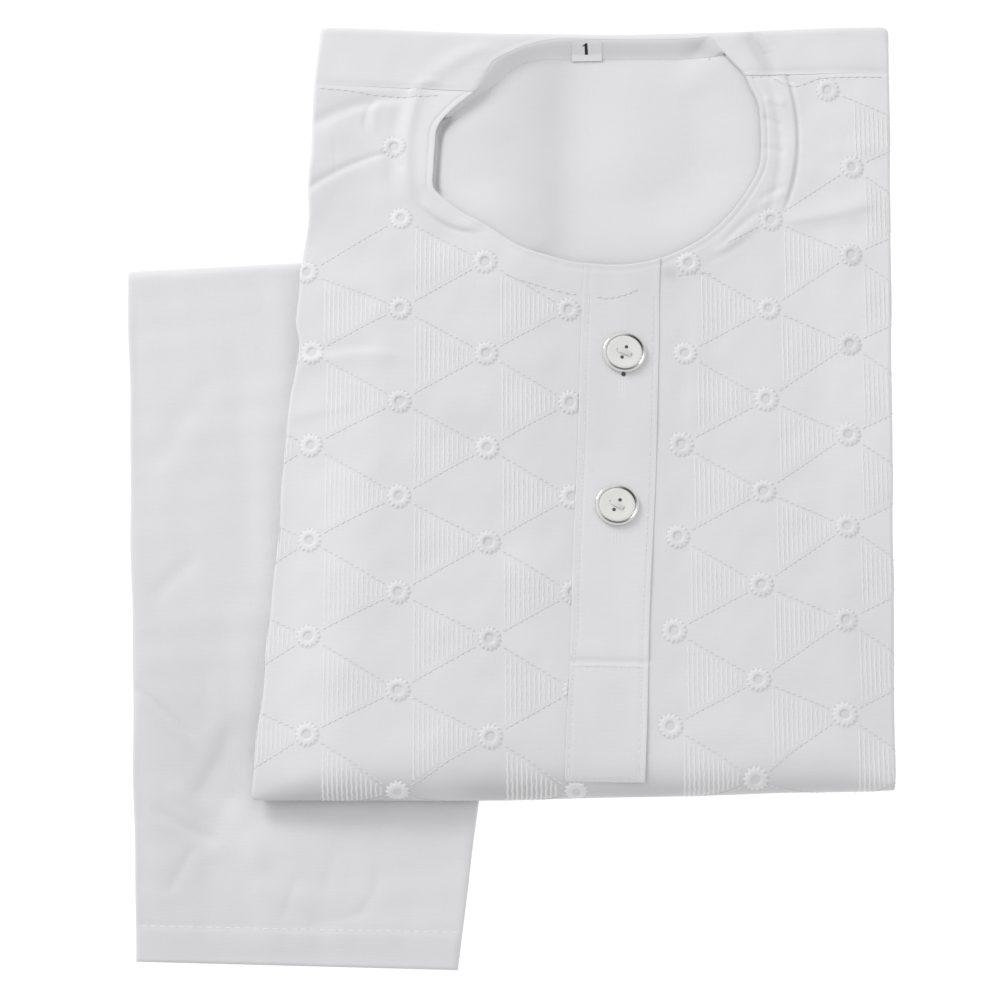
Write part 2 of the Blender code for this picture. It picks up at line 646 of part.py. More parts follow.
def surface_normal(x, y):
    """The unit normal of the front at a place."""
    step = 4.0
    slope_x = (front_top(x + step, y) - front_top(x - step, y)) / (2 * step)
    slope_y = (front_top(x, y + step) - front_top(x, y - step)) / (2 * step)
    normal = np.array([-float(slope_x), -float(slope_y), 1.0])
    return normal / np.linalg.norm(normal)


def button(name, place, finish):
    """A turned button: a raised rim round a shallow dish, flat below."""
    turns = np.linspace(0.0, 2 * math.pi, 28, endpoint=False)
    x, y = place
    normal = surface_normal(x, y)
    side = np.cross((0.0, 1.0, 0.0), normal)
    side /= np.linalg.norm(side)
    up = np.cross(normal, side)
    base = np.array([x, y, float(front_top(x, y))]) + normal * (PLACKET_LIFT + PLACKET_WALL + BUTTON_GAP)
    loops = [
        base + radius * (np.cos(turns)[:, None] * side + np.sin(turns)[:, None] * up) + height * normal
        for radius, height in BUTTON_PROFILE
    ]
    return rings(name, loops, finish)


def size_label(finish):
    """The small folded label that hangs inside the back of the neck."""
    width, depth = LABEL_SIZE
    x0, y0 = LABEL_PLACE
    across = np.linspace(-width / 2, width / 2, 4)
    upper, lower = [], []
    for back, height in ((0.0, 10.0), (0.5, 9.85), (1.0, 9.6)):
        y = np.full(4, y0 - depth * back)
        x = x0 + across
        floor = level(x, y, np.full(4, height)) - 0.5
        upper.append(np.column_stack([x, y, floor + 0.9]))
        lower.append(np.column_stack([x, y, floor]))
    return shell("size_label", np.array(upper)[:, ::-1], np.array(lower)[:, ::-1], finish)


def shalwar_frame(y_share, side_share):
    """A plan point of the folded legs, by its share of the way up from the hem and across."""
    hem = corner(SHALWAR_CORNERS, "hem_left"), corner(SHALWAR_CORNERS, "hem_right")
    knee = corner(SHALWAR_CORNERS, "knee_left"), corner(SHALWAR_CORNERS, "knee_right")
    left = hem[0] + (knee[0] - hem[0]) * y_share[..., None]
    right = hem[1] + (knee[1] - hem[1]) * y_share[..., None]
    return left + (right - left) * side_share[..., None]


def shalwar_plan(up, inset_left, inset_right, across):
    """Plan points this far up from the hem, between two insets from the sides."""
    y_share = np.full(len(across), up / LEG_LENGTH)
    width = np.linalg.norm(shalwar_frame(y_share[:1], np.ones(1)) - shalwar_frame(y_share[:1], np.zeros(1)))
    side = inset_left / width + (1.0 - (inset_left + inset_right) / width) * across
    return shalwar_frame(y_share, side)


def shalwar_leg_left(finish):
    """The leg on top: its face, its rounded sides, the knee fold and the face that lies on the floor."""
    edge = np.minimum(LEG_ACROSS, 1.0 - LEG_ACROSS) * LEG_WIDTH
    bulge = np.sqrt(1.0 - np.clip(1.0 - edge / SHALWAR_EDGE, 0.0, 1.0) ** 2)
    middle, half = SHALWAR_HEIGHT / 2, SHALWAR_HEIGHT / 2
    rows = []
    for up in (0.0, 3.0, HEM_DEPTH - 0.8, HEM_DEPTH + 0.8, *LEG_ROWS_ABOVE, LEG_LENGTH - KNEE_REACH):
        plan = shalwar_plan(up, 0.0, 0.0, LEG_ACROSS)
        hem = HEM_RAISE if up < HEM_DEPTH else 0.0
        top = middle + GAP / 2 + (half - GAP / 2 + hem) * bulge
        relief = ridges(plan[:, 0], plan[:, 1], SHALWAR_FOLDS) * bulge
        rows.append(np.column_stack([plan, top + relief]))
    for turn in np.radians(KNEE_TURNS):
        plan = shalwar_plan(LEG_LENGTH - KNEE_REACH * (1.0 - math.sin(turn)), 0.0, 0.0, LEG_ACROSS)
        share = math.cos(turn)
        rows.append(np.column_stack([plan, middle + half * share * bulge + GAP / 2 * np.sign(share)]))
    for up in (LEG_LENGTH - KNEE_REACH, *LEG_ROWS_BELOW):
        plan = shalwar_plan(up, 0.0, 0.0, LEG_ACROSS)
        rows.append(np.column_stack([plan, middle - GAP / 2 - (half - GAP / 2) * bulge]))
    outer = np.array(rows)
    normal = grid_normals(outer, False)
    return shell("shalwar_leg_left", outer, outer - normal * CLOTH, finish)


def shalwar_slab(name, up_range, inset, heights, finish, gathers=0, rows=9):
    """A flat layer inside the legs, with round sides; gathers wave its top along its width."""
    across = np.linspace(0.0, 1.0, 15 if gathers == 0 else 3 * gathers + 1)
    edge = np.minimum(across, 1.0 - across) * SLAB_WIDTH
    bulge = 0.35 + 0.65 * np.sqrt(1.0 - np.clip(1.0 - edge / SLAB_EDGE, 0.0, 1.0) ** 2)
    low, high = heights
    middle, half = (low + high) / 2, (high - low) / 2
    gather = 0.35 * (1.0 - np.cos(across * 2 * math.pi * gathers))
    upper, lower = [], []
    for up in np.linspace(*up_range, rows):
        plan = shalwar_plan(up, inset, inset, across)
        upper.append(np.column_stack([plan, middle + half * bulge - gather]))
        lower.append(np.column_stack([plan, middle - half * bulge]))
    return shell(name, np.array(upper), np.array(lower), finish)


def build():
    """Builds every piece of the set."""
    cotton = material("white voile")
    lining = material("white voile, inside")
    pearl = material("pearl button", roughness=0.25, metallic=0.3, colour=(0.80, 0.80, 0.78))
    tape = material("label tape", roughness=0.6, colour=(0.86, 0.86, 0.86))

    kameez_front(cotton)
    kameez_back(cotton)
    kameez_folds(lining)
    kameez_sleeve("kameez_sleeve_left", -1, cotton)
    kameez_sleeve("kameez_sleeve_right", 1, cotton)
    neck_facing(lining)
    placket(cotton)
    for number, place in enumerate(BUTTON_PLACES, start=1):
        button(f"button_{number}", place, pearl)
    size_label(tape)

    shalwar_leg_left(cotton)
    shalwar_slab("shalwar_leg_right", (1.5, LEG_LENGTH - 8.0), 2.0, LAYER_LEG, cotton)
    band, folds = (3.0, WAISTBAND_DEPTH), (WAISTBAND_DEPTH + 2 * GAP, LEG_LENGTH - 7.0)
    shalwar_slab("shalwar_waistband", band, 2.4, LAYER_FOLDS, lining, gathers=WAISTBAND_GATHERS, rows=3)
    shalwar_slab("shalwar_folds", folds, 2.4, LAYER_FOLDS, lining)


for old in list(bpy.data.objects):
    bpy.data.objects.remove(old)
build()
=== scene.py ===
"""Looks of a small child's white cotton shalwar kameez, folded flat as for a shelf.

The kameez is folded to a packet and lies on its folded straight-leg shalwar. Cloth lies on the forms that
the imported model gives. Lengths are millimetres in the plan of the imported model: X runs to the right across
the chest, Y from the lower fold to the shoulders, Z up. The meshes are written in metres.
"""

from __future__ import annotations

import logging
import math
from dataclasses import dataclass, field
from enum import Enum
from typing import Callable, Iterable, Sequence

import bpy
import numpy as np
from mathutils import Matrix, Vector

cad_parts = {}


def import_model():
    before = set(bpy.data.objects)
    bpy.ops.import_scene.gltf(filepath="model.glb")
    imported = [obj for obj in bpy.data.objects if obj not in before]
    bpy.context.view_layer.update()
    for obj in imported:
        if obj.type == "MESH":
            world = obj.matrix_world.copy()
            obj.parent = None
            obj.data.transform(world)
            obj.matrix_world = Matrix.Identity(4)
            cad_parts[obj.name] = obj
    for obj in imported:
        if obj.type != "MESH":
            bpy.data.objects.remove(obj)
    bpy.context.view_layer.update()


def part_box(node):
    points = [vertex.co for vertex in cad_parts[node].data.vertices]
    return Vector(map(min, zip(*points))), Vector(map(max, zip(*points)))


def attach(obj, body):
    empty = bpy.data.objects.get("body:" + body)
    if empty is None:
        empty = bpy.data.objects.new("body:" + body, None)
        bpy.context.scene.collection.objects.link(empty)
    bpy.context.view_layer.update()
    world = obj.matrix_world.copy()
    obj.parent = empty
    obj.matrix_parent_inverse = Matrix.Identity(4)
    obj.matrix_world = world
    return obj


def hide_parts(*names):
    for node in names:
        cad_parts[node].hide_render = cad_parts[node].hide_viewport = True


Array = np.ndarray
Place = Callable[[Array, Array], Array]
Pair = tuple[float, float]
Triple = tuple[float, float, float]
Piece = bpy.types.Object
Material = bpy.types.Material

METRE = 0.001
BUTTON_PLAN = (41.6, 49.7)  # the upper button in the plan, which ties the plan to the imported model
log = logging.getLogger("shalwar_kameez")


# Numbers


def smoothstep(t: Array | float) -> Array:
    """0 below 0, 1 above 1 and a smooth rise between."""
    t = np.clip(t, 0.0, 1.0)
    return t * t * (3.0 - 2.0 * t)


def rise(value: Array | float, low: float, high: float) -> Array:
    """A smooth step from 0 at low to 1 at high."""
    return smoothstep((np.asarray(value, float) - low) / (high - low))


def drift(x: Array, y: Array, seed: int, wavelength: float, waves: int = 7) -> Array:
    """Smooth seeded unevenness over a plane, of about unit size.

    Args:
        x: plan places.
        y: the same.
        seed: which waves are drawn.
        wavelength: about how long they are.
        waves: how many are added up.

    Returns:
        The heights.
    """
    rng = np.random.default_rng(seed)
    total = np.zeros(np.broadcast(x, y).shape)
    for _ in range(waves):
        turn, phase = rng.uniform(0.0, 2 * math.pi, 2)
        scale = 2 * math.pi / (wavelength * rng.uniform(0.7, 1.6))
        total = total + np.sin(scale * (x * math.cos(turn) + y * math.sin(turn)) + phase)
    return total / math.sqrt(waves / 2)


def unit(vectors: Array) -> Array:
    """Vectors scaled to length 1."""
    return vectors / np.maximum(np.linalg.norm(vectors, axis=-1, keepdims=True), 1e-9)


def rows_of(kind: type, *rows: tuple) -> tuple:
    """A table's rows as instances of a class, with the values in the order of its fields."""
    return tuple(kind(*row) for row in rows)


# Creases and shades


@dataclass(frozen=True)
class Crease:
    """A soft ridge or trough along a line or an arc.

    across_left and across_right are its half widths on either side, seen from start to end.
    """

    start: Pair
    end: Pair
    height: float
    across_left: float = 4.0
    across_right: float = 4.0
    bend: float = 0.0

    def at(self, x: Array, y: Array) -> Array:
        """The height that it adds at places of the plan.

        Args:
            x: plan places.
            y: the same.

        Returns:
            The heights there.
        """
        along = np.subtract(self.end, self.start)
        length = float(np.linalg.norm(along))
        along = along / length
        t = ((x - self.start[0]) * along[0] + (y - self.start[1]) * along[1]) / length
        off = (y - self.start[1]) * along[0] - (x - self.start[0]) * along[1]
        off = off - 4.0 * self.bend * t * (1.0 - t)
        width = np.where(off > 0.0, self.across_left, self.across_right)
        ends = rise(t, -0.12, 0.18) * rise(-t, -1.12, -0.82)
        return self.height * ends * np.exp(-((off / width) ** 2))


@dataclass(frozen=True)
class Shade:
    """A soft darker or lighter patch painted into the cloth's colour, mostly painted shade and painted light.
    """

    place: Pair
    reach: Pair  # its half length and half width
    turn: float  # degrees from X to its length
    change: float

    def at(self, x: Array, y: Array) -> Array:
        """The share by which it changes the colour at places of the plan."""
        ahead, side = math.cos(math.radians(self.turn)), math.sin(math.radians(self.turn))
        dx, dy = x - self.place[0], y - self.place[1]
        along, across = (dx * ahead + dy * side) / self.reach[0], (dy * ahead - dx * side) / self.reach[1]
        return self.change * np.exp(-(along**4) - across**2)


def summed(forms: Iterable[Crease | Shade], x: Array, y: Array) -> Array:
    """What several creases or shades add together at places of the plan."""
    return sum((form.at(x, y) for form in forms), np.zeros(np.broadcast(x, y).shape))


def shaded(points: Array, shades: Iterable[Shade]) -> Array:
    """The change of colour at points, from several such places."""
    return summed(shades, *np.moveaxis(np.asarray(points)[..., :2], -1, 0))


# Rows of start, end, height, half width on the left and on the right, and bend
FRONT_CREASES = rows_of(
    Crease,
    # the two shoulder seams
    ((-67, 147.4), (-9, 144.2), -0.35, 1.3, 1.3),
    ((83, 151.4), (137, 152), -0.35, 1.2, 1.2),
    # from the left seam down to the armhole
    ((-67, 130.4), (-31, 142), -0.75, 2.6, 2, 2.8),
    ((-64, 126), (-38, 137.6), 0.3, 2, 5, 2.6),
    ((-43.4, 141), (-46.2, 130), -0.35, 1.2, 1.1, -1.2),
    ((-40.8, 141), (-43, 129), 0.3, 1.8, 1.4, -1.2),
    ((-67, 107), (-39, 121), -0.6, 1.5, 1.2, 1.4),
    ((-66, 103.6), (-42, 116.6), 0.3, 2.4, 5, 1.4),
    ((-40.4, 121.6), (-33, 114.6), -0.45, 1, 1.4, 0.8),
    ((-60, 128), (-34, 127), 0.4, 5, 5),
    ((-56.5, 128), (-56, 112), -0.1, 0.9, 0.9),
    # the left side and chest
    ((-69, 46.2), (-34, 47.4), 0.55, 1.6, 3.2, 1.5),
    ((-68, 50.5), (-42, 51), -0.35, 3, 1.6),
    ((-71, 27.5), (-50, 30.5), 0.3, 3, 1.4),
    ((-58, 70), (-22, 75), 0.25, 6, 4, 1.5),
    # the band round the neck, left
    ((-26.5, 101.8), (-8, 91.6), 0.8, 5, 1, -2.2),
    ((-27, 100.6), (-8.5, 91), -0.55, 0.9, 1, -2.2),
    ((-30.5, 104), (-27.5, 146), 0.9, 3.2, 2.4, 3),
    ((-36, 106), (-33, 141), -0.6, 3, 3, 2),
    ((-26, 147), (-4, 160.5), 0.7, 3, 2.6, 1.5),
    ((-31, 143), (-23, 148.5), 0.6, 1.2, 1.8, 0.8),
    # the band right of the neck, and the yoke beside it
    ((97.4, 151), (96.4, 103), 0.8, 1, 4.5, 4.2),
    ((98.7, 152), (97.6, 102), -0.5, 0.9, 0.9, 4.2),
    ((92.5, 148), (91.5, 100), -0.4, 1.6, 1.6, 4.2),
    ((85.6, 167), (95, 150.4), -0.9, 1.5, 2, 0.8),
    ((87, 149.6), (103, 146.6), -0.4, 1, 1, 1.4),
    # crumples in that band
    ((90.6, 134.4), (96.6, 131.4), -0.45, 1, 1),
    ((91, 141), (98, 139), 0.35, 1.8, 1.2),
    ((90, 123.6), (98, 121.4), -0.3, 1.2, 1.4),
    ((88.6, 104.6), (97.8, 109.8), -0.3, 1.2, 1.3, 0.4),
    ((88, 101.6), (97, 106.8), 0.25, 1.6, 1.6, 0.4),
    ((70.6, 82.2), (84, 89.8), -0.25, 1.1, 1.2),
    ((75, 88.2), (88.4, 101), -0.28, 1, 1.1, 0.4),
    ((73.4, 85.4), (88, 96.5), 0.35, 1.8, 1.6),
    # the right side
    ((97, 97), (128, 104), 0.55, 4, 1.5, -1),
    ((100, 92), (126, 97), -0.4, 2.5, 5),
    ((106, 112), (110, 138), 0.5, 6, 6),
    ((112, 122), (136, 124), 0.35, 4, 2.5),
    ((68, 70), (64, 20), 0.35, 5, 3),
    # beside the placket, and over the edge of the shalwar
    ((13, 60), (8, -60), 0.25, 5, 5, 2),
    ((-8, 28), (4, -24), -0.9, 15, 11),
    ((-24, 34), (14, 22), 0.35, 5, 8),
    # towards the lower fold
    ((-70, -64), (-30, -52), 0.3, 6, 6),
    ((-40, -84), (10, -80), 0.3, 5, 6),
    ((60, -78), (112, -84), 0.3, 6, 5),
)
PANEL_CREASES = rows_of(
    Crease,
    # down the back, in the neck
    ((24, 162), (22, 82), -1.1, 9, 7),
    ((46, 158), (44, 90), 0.5, 9, 9),
    ((-6, 150), (-2, 95), 0.4, 7, 7),
    ((66, 150), (70, 100), -0.35, 8, 8),
)
LEG_CREASES = rows_of(
    Crease,
    # the pressed fold at the side
    ((-124, -60.8), (-100.5, -81.4), 0.7, 0.9, 5, 0.4),
    ((-125, -58.6), (-101.2, -79.4), -0.75, 1.2, 0.9, 0.4),
    ((-120, -66), (-99, -88), -0.35, 3, 3),
    # the calf and the shin
    ((-88.5, -76.5), (-99.2, -99.4), -0.55, 3.6, 3, 0.8),
    ((-76, -86.6), (-94.8, -118.6), 0.4, 4, 4.6, 1.6),
    ((-97.5, -54.6), (-95.5, -76.2), -0.28, 3, 3),
    ((-112.4, -102.8), (-92.2, -113.6), -0.55, 2.4, 1.6, -0.6),
    ((-108, -96), (-92, -104), 0.4, 3, 2.4),
    ((-99.2, -114.6), (-107.3, -129.4), -0.35, 1.8, 1.8),
    # the thigh
    ((-97.2, 43), (-117.4, 9.2), -0.5, 4.5, 5.5, -0.8),
    ((-100.8, -18.2), (-115, -32), -0.45, 2.6, 3),
    ((-96, 8), (-92, -44), 0.35, 9, 9, -3),
    # above the hem
    ((-88, -101), (-77, -122), 0.6, 4, 4.5),
    ((-53.4, -114.4), (-57.2, -130.8), -0.22, 2.4, 2.2),
    ((-65.4, -124.4), (-70.4, -138.2), -0.28, 1.9, 1.8),
    ((-38.6, -121.6), (-46.2, -137.8), -0.3, 2.4, 2, 1.2),
    ((-42.6, -135.6), (-63.2, -139.6), -0.22, 1.8, 1.6, 0.8),
    ((-80, -128), (-58, -132), 0.35, 4, 4),
    ((-114, -122), (-96, -124), 0.3, 5, 4),
    # beside the kameez and under the knee
    ((-84, 20), (-86, -40), -0.2, 7, 6),
    ((-124, 66), (-80, 70), -0.25, 7, 7),
)
# Rows of place, reach, turn and change
FRONT_SHADES = rows_of(
    Shade,
    # painted light: lighter over the right side
    ((122, 78), (96, 15), 88, 0.075),
    # painted shade on the left side and under the neck's left corner
    ((-42, 90), (14, 9), 90, -0.05),
    ((-54, 92), (70, 10), 90, -0.05),
    ((-27, 102), (16, 8), -50, -0.05),
    # lighter beside the placket
    ((4, -42), (36, 16), 90, 0.035),
    # painted shade of a small pucker caught under the facing
    ((57.6, 78), (2.6, 2.4), 0, -0.12),
    # painted shade on the edge of the lower fold
    ((-54, -99), (27, 4.4), 0, -0.17),
    ((4, -98.6), (17, 4), 0, -0.14),
    ((76, -97), (56, 4), 1, -0.09),
    # painted shade over the lower fold
    ((-45, -96), (45, 7), 0, -0.06),
    ((15, -95), (40, 7), 0, -0.08),
    ((85, -94), (50, 5.5), 1, -0.04),
)
PANEL_SHADES = rows_of(
    Shade,
    # painted shade down the back panel, and beside it
    ((14, 120), (48, 14), 90, -0.11),
    ((72, 120), (30, 12), 90, -0.02),
)
# painted shade where the facing turns under at the corner
FACING_SHADES = (Shade((71.5, 160.5), (8, 4), 0.0, -0.14),)  # turned under at the corner
PLACKET_SHADES = rows_of(
    Shade,
    # lighter on its lower part
    ((35, -28), (48, 30), 90, 0.045),
    # painted light round the upper button, where its cast shadow falls
    ((43, 46), (15, 12), 0, 0.025),
)
BACK_SHADES = rows_of(
    Shade,
    # painted shade in the crease under the yoke's seam
    ((89.4, 157.8), (9, 2.4), -60, -0.11),
    # painted light: lighter at the right
    ((118, 160), (22, 9), 0, 0.04),
)
LEG_SHADES = rows_of(
    Shade,
    # painted light against the shade beside the kameez and under its lower fold
    ((-80, -16), (84, 8), 88, 0.065),
    ((-42, -108), (48, 6), 0, 0.05),
    # darker along the hem, which is twice turned
    ((-65, -147.5), (60, 7), -1.5, -0.045),
    # darker over the calf and the shin, with painted shade in its folds and a painted highlight on a ridge
    ((-104, -95), (56, 15), 90, -0.065),
    ((-92, -84), (16, 6), 58, -0.05),
    ((-102, -108), (10, 7), 20, -0.03),
    ((-83, -108), (16, 7), 50, 0.035),
)


# The plan of the packet and of the legs


class Outline:
    """A closed plan outline with rounded corners, read by its length."""

    ARC_STEPS = 8
    PART = 4000  # places that are measured at once
    SPARSE = 8  # of the outline's points, one in this many gives the rough distance
    CLOSE = 34.0  # places that are roughly this near are measured finely

    def __init__(self, corners: Sequence[tuple[str, float, float, float]], step: float = 1.0) -> None:
        """Rounds the corners and spaces the outline evenly.

        Args:
            corners: rows of name, x, y and radius, counter-clockwise.
            step: the spacing of the even points.
        """
        places = np.array([row[1:3] for row in corners], float)
        rounded = []
        for i, (_, _, _, radius) in enumerate(corners):
            before, here, after = places[i - 1], places[i], places[(i + 1) % len(places)]
            a, b = here - before, after - here
            length = min(np.linalg.norm(a), np.linalg.norm(b))
            a, b = unit(a), unit(b)
            turn = math.acos(float(np.clip(a @ b, -1.0, 1.0)))
            reach = min(radius * math.tan(turn / 2), 0.45 * length)
            start, end = here - a * reach, here + b * reach
            for t in np.linspace(0.0, 1.0, self.ARC_STEPS):
                rounded.append((1 - t) ** 2 * start + 2 * t * (1 - t) * here + t * t * end)
        closed = np.array(rounded + rounded[:1])
        lengths = np.concatenate([[0.0], np.cumsum(np.linalg.norm(np.diff(closed, axis=0), axis=1))])
        self.total = float(lengths[-1])
        self.corner_at = {
            row[0]: float(lengths[i * self.ARC_STEPS + self.ARC_STEPS // 2]) for i, row in enumerate(corners)
        }
        count = round(self.total / step)
        self.lengths = np.linspace(0.0, self.total, count, endpoint=False)
        self.points = np.stack([np.interp(self.lengths, lengths, closed[:, k]) for k in (0, 1)], axis=-1)

    def wave(self, offset: Callable[[Array, Array], Array]) -> None:
        """Moves the outline out by an offset that depends on the place."""
        out = -self.inward(self.lengths)
        self.points = self.points + out * offset(self.points[:, 0], self.points[:, 1])[:, None]

    def at(self, length: Array | float) -> Array:
        """The points at these lengths along the outline."""
        wrapped = np.concatenate([self.lengths, [self.total]])
        closed = np.vstack([self.points, self.points[:1]])
        length = np.asarray(length, float) % self.total
        return np.stack([np.interp(length, wrapped, closed[:, k]) for k in (0, 1)], axis=-1)

    def inward(self, length: Array | float, reach: float = 1.5) -> Array:
        """The unit normals that point into the outline there."""
        along = self.at(np.asarray(length) + reach) - self.at(np.asarray(length) - reach)
        return unit(np.stack([-along[..., 1], along[..., 0]], axis=-1))

    def side_at_y(self, y: float, start: str, end: str) -> float:
        """The length between two corners at which the outline passes this y.

        Args:
            y: the y in the plan.
            start: the name of the corner before it.
            end: the name of the corner after it.

        Returns:
            The length along the outline.
        """
        a, b = self.corner_at[start], self.corner_at[end]
        lengths = np.linspace(a, b if b > a else b + self.total, 400)
        heights = self.at(lengths)[:, 1]
        order = np.argsort(heights)
        return float(np.interp(y, heights[order], lengths[order]))

    def nearest(self, x: Array, y: Array) -> tuple[Array, Array]:
        """How far inside the outline places lie, and the length along it that is nearest.

        Args:
            x: plan places, of any shape.
            y: the same.

        Returns:
            The two measures, in the shape of x.
        """
        places = np.stack([np.ravel(x), np.ravel(y)], axis=1)
        ends = np.roll(self.points, -1, axis=0)
        along = ends - self.points
        squares = (along**2).sum(axis=1)
        step = self.total / len(self.points)
        sparse = self.points[:: self.SPARSE]
        far = ((places[:, None] - sparse[None]) ** 2).sum(axis=2)
        index = far.argmin(axis=1) * self.SPARSE
        gap = places - self.points[index]
        side = along[index, 0] * gap[:, 1] - along[index, 1] * gap[:, 0]
        length, inset = index * step, np.sqrt(far.min(axis=1)) * np.sign(side)
        close = np.flatnonzero(np.abs(inset) < self.CLOSE)
        for first in range(0, len(close), self.PART):
            index = close[first : first + self.PART]
            part = places[index]
            gap = part[:, None, :] - self.points[None]
            t = np.clip((gap * along[None]).sum(axis=2) / squares, 0.0, 1.0)
            away = gap - t[..., None] * along[None]
            square = (away**2).sum(axis=2)
            best = square.argmin(axis=1)
            rows = np.arange(len(part))
            side = along[best, 0] * gap[rows, best, 1] - along[best, 1] * gap[rows, best, 0]
            inset[index] = np.sqrt(square[rows, best]) * np.sign(side)
            length[index] = (best + t[rows, best]) * step
        return inset.reshape(np.shape(x)), length.reshape(np.shape(x))


# Places of the neck's edge and of the facing's own edge, from the middle of the back round by the right
NECK_EDGE = {
    "back, right half": ((34.5, 163.0), (56.0, 163.0), (69.0, 163.5), (72.8, 163.8)),
    "right shoulder": ((76.0, 160.0), (79.4, 156.0), (84.0, 150.6)),
    "right side": ((87.3, 143.6), (89.1, 138.8), (89.7, 128.0), (89.0, 117.3), (85.6, 109.8)),
    "front, right": ((78.3, 99.5), (69.3, 91.0), (58.3, 85.0)),
    "over the placket": ((50.8, 82.4), (40.5, 80.5), (27.0, 80.7)),
    "front, left": ((20.2, 81.9), (6.8, 86.0), (-5.1, 93.9), (-13.8, 99.1)),
    "left notch": ((-20.1, 104.5), (-22.7, 108.0)),
    "left side": ((-22.7, 114.5), (-22.3, 122.5), (-21.3, 130.6), (-16.6, 136.9)),
    "left shoulder": ((-13.6, 139.7), (-8.0, 144.8), (-4.7, 150.7), (-1.7, 155.3)),
    "back, left half": ((4.1, 158.8), (9.1, 160.8), (14.6, 162.4), (20.5, 163.2)),
}
FACING_EDGE = {
    "back, right half": ((34.5, 157.2), (60.0, 157.2), (74.0, 157.4)),
    "hidden, right": ((83.0, 158.0), (98.0, 125.0), (86.0, 98.0)),
    "hidden, front": ((68.0, 80.0), (38.0, 70.0), (6.0, 76.0)),
    "hidden, left": ((-16.0, 91.0), (-25.0, 106.4), (-25.8, 113.0), (-25.6, 122.0)),
    "left side": ((-22.6, 131.0), (-15.8, 136.6)),
    "left shoulder": ((-10.8, 140.8), (-5.0, 145.4), (0.3, 149.6)),
    "back, left half": ((4.2, 153.6), (9.5, 156.2), (15.3, 157.3)),
}
KAMEEZ_CORNERS = (
    ("shoulder_left", -62.3, 168.3, 2.5),
    ("seam_left", -64.4, 147.0, 60.0),
    ("armhole_left", -65.4, 98.5, 60.0),
    ("side_left", -67.9, 76.0, 20.0),
    ("above_the_tuck", -68.8, 61.0, 14.0),
    ("tuck_left", -67.2, 54.3, 6.0),
    ("below_the_tuck", -70.3, 37.0, 40.0),
    ("waist_left", -71.6, 20.0, 90.0),
    ("hip_left", -74.0, -20.0, 90.0),
    ("flare_left", -77.4, -60.0, 90.0),
    ("fold_left", -80.9, -100.5, 2.0),
    ("lower_fold", -7.0, -100.5, 300.0),
    ("lower_fold_middle", 30.0, -99.1, 300.0),
    ("lower_fold_right", 90.0, -97.3, 300.0),
    ("fold_right", 128.7, -96.7, 0.8),
    ("hip_right", 131.1, 0.7, 400.0),
    ("armhole_right", 134.4, 135.5, 300.0),
    ("shoulder_right", 135.2, 169.2, 3.0),
    ("yoke_right", 83.0, 166.6, 150.0),
    ("neck_back", 36.0, 165.5, 300.0),
    ("yoke_left", 0.0, 166.1, 150.0),
)
SHALWAR_KNEE = ((-127.0, 81.6), (14.8, 89.3))  # left and right end of the fold at the knee
SHALWAR_HEM = ((-117.3, -151.7), (-13.4, -154.4))


def left_waves(x: Array, y: Array) -> Array:
    """Small waves of the packet's long sides, by place."""
    left = (x < 0.0) & (y < 140.0)
    sway = 0.2 * np.sin(y / 7.9) + 0.2 * np.sin(y / 4.3 + 1.0)
    return np.where(left, sway * rise(-np.abs(y - 20.0), -120.0, -95.0), 0.1 * np.sin(y / 9.0 + x / 11.0))


class PolarEdge:
    """A smooth closed line through places, read by the direction from a middle."""

    STEPS = 16  # from each place to the next

    def __init__(self, regions: dict[str, tuple], middle: Pair) -> None:
        """Draws the line through the places of each region in turn, for reading from a middle.

        Args:
            regions: rows of places, by region.
            middle: where the line is read from.
        """
        here = np.array([place for places in regions.values() for place in places], float)
        after = np.roll(here, -1, axis=0)
        slope = unit(after - np.roll(here, 1, axis=0))[:, None]
        span = np.linalg.norm(after - here, axis=1)[:, None, None]
        t = np.linspace(0.0, 1.0, self.STEPS, endpoint=False)[None, :, None]
        line = (1 + 2 * t) * (1 - t) ** 2 * here[:, None] + t**2 * (3 - 2 * t) * after[:, None]
        line = line + t * (1 - t) * span * ((1 - t) * slope - t * np.roll(slope, -1, axis=0))
        away = line.reshape(-1, 2) - middle
        self.angles, self.reaches = np.arctan2(away[:, 1], away[:, 0]), np.hypot(*away.T)

    def reach(self, angle: Array) -> Array:
        """The distance from the middle in a direction in radians."""
        return np.interp(angle, self.angles, self.reaches, period=2 * math.pi)


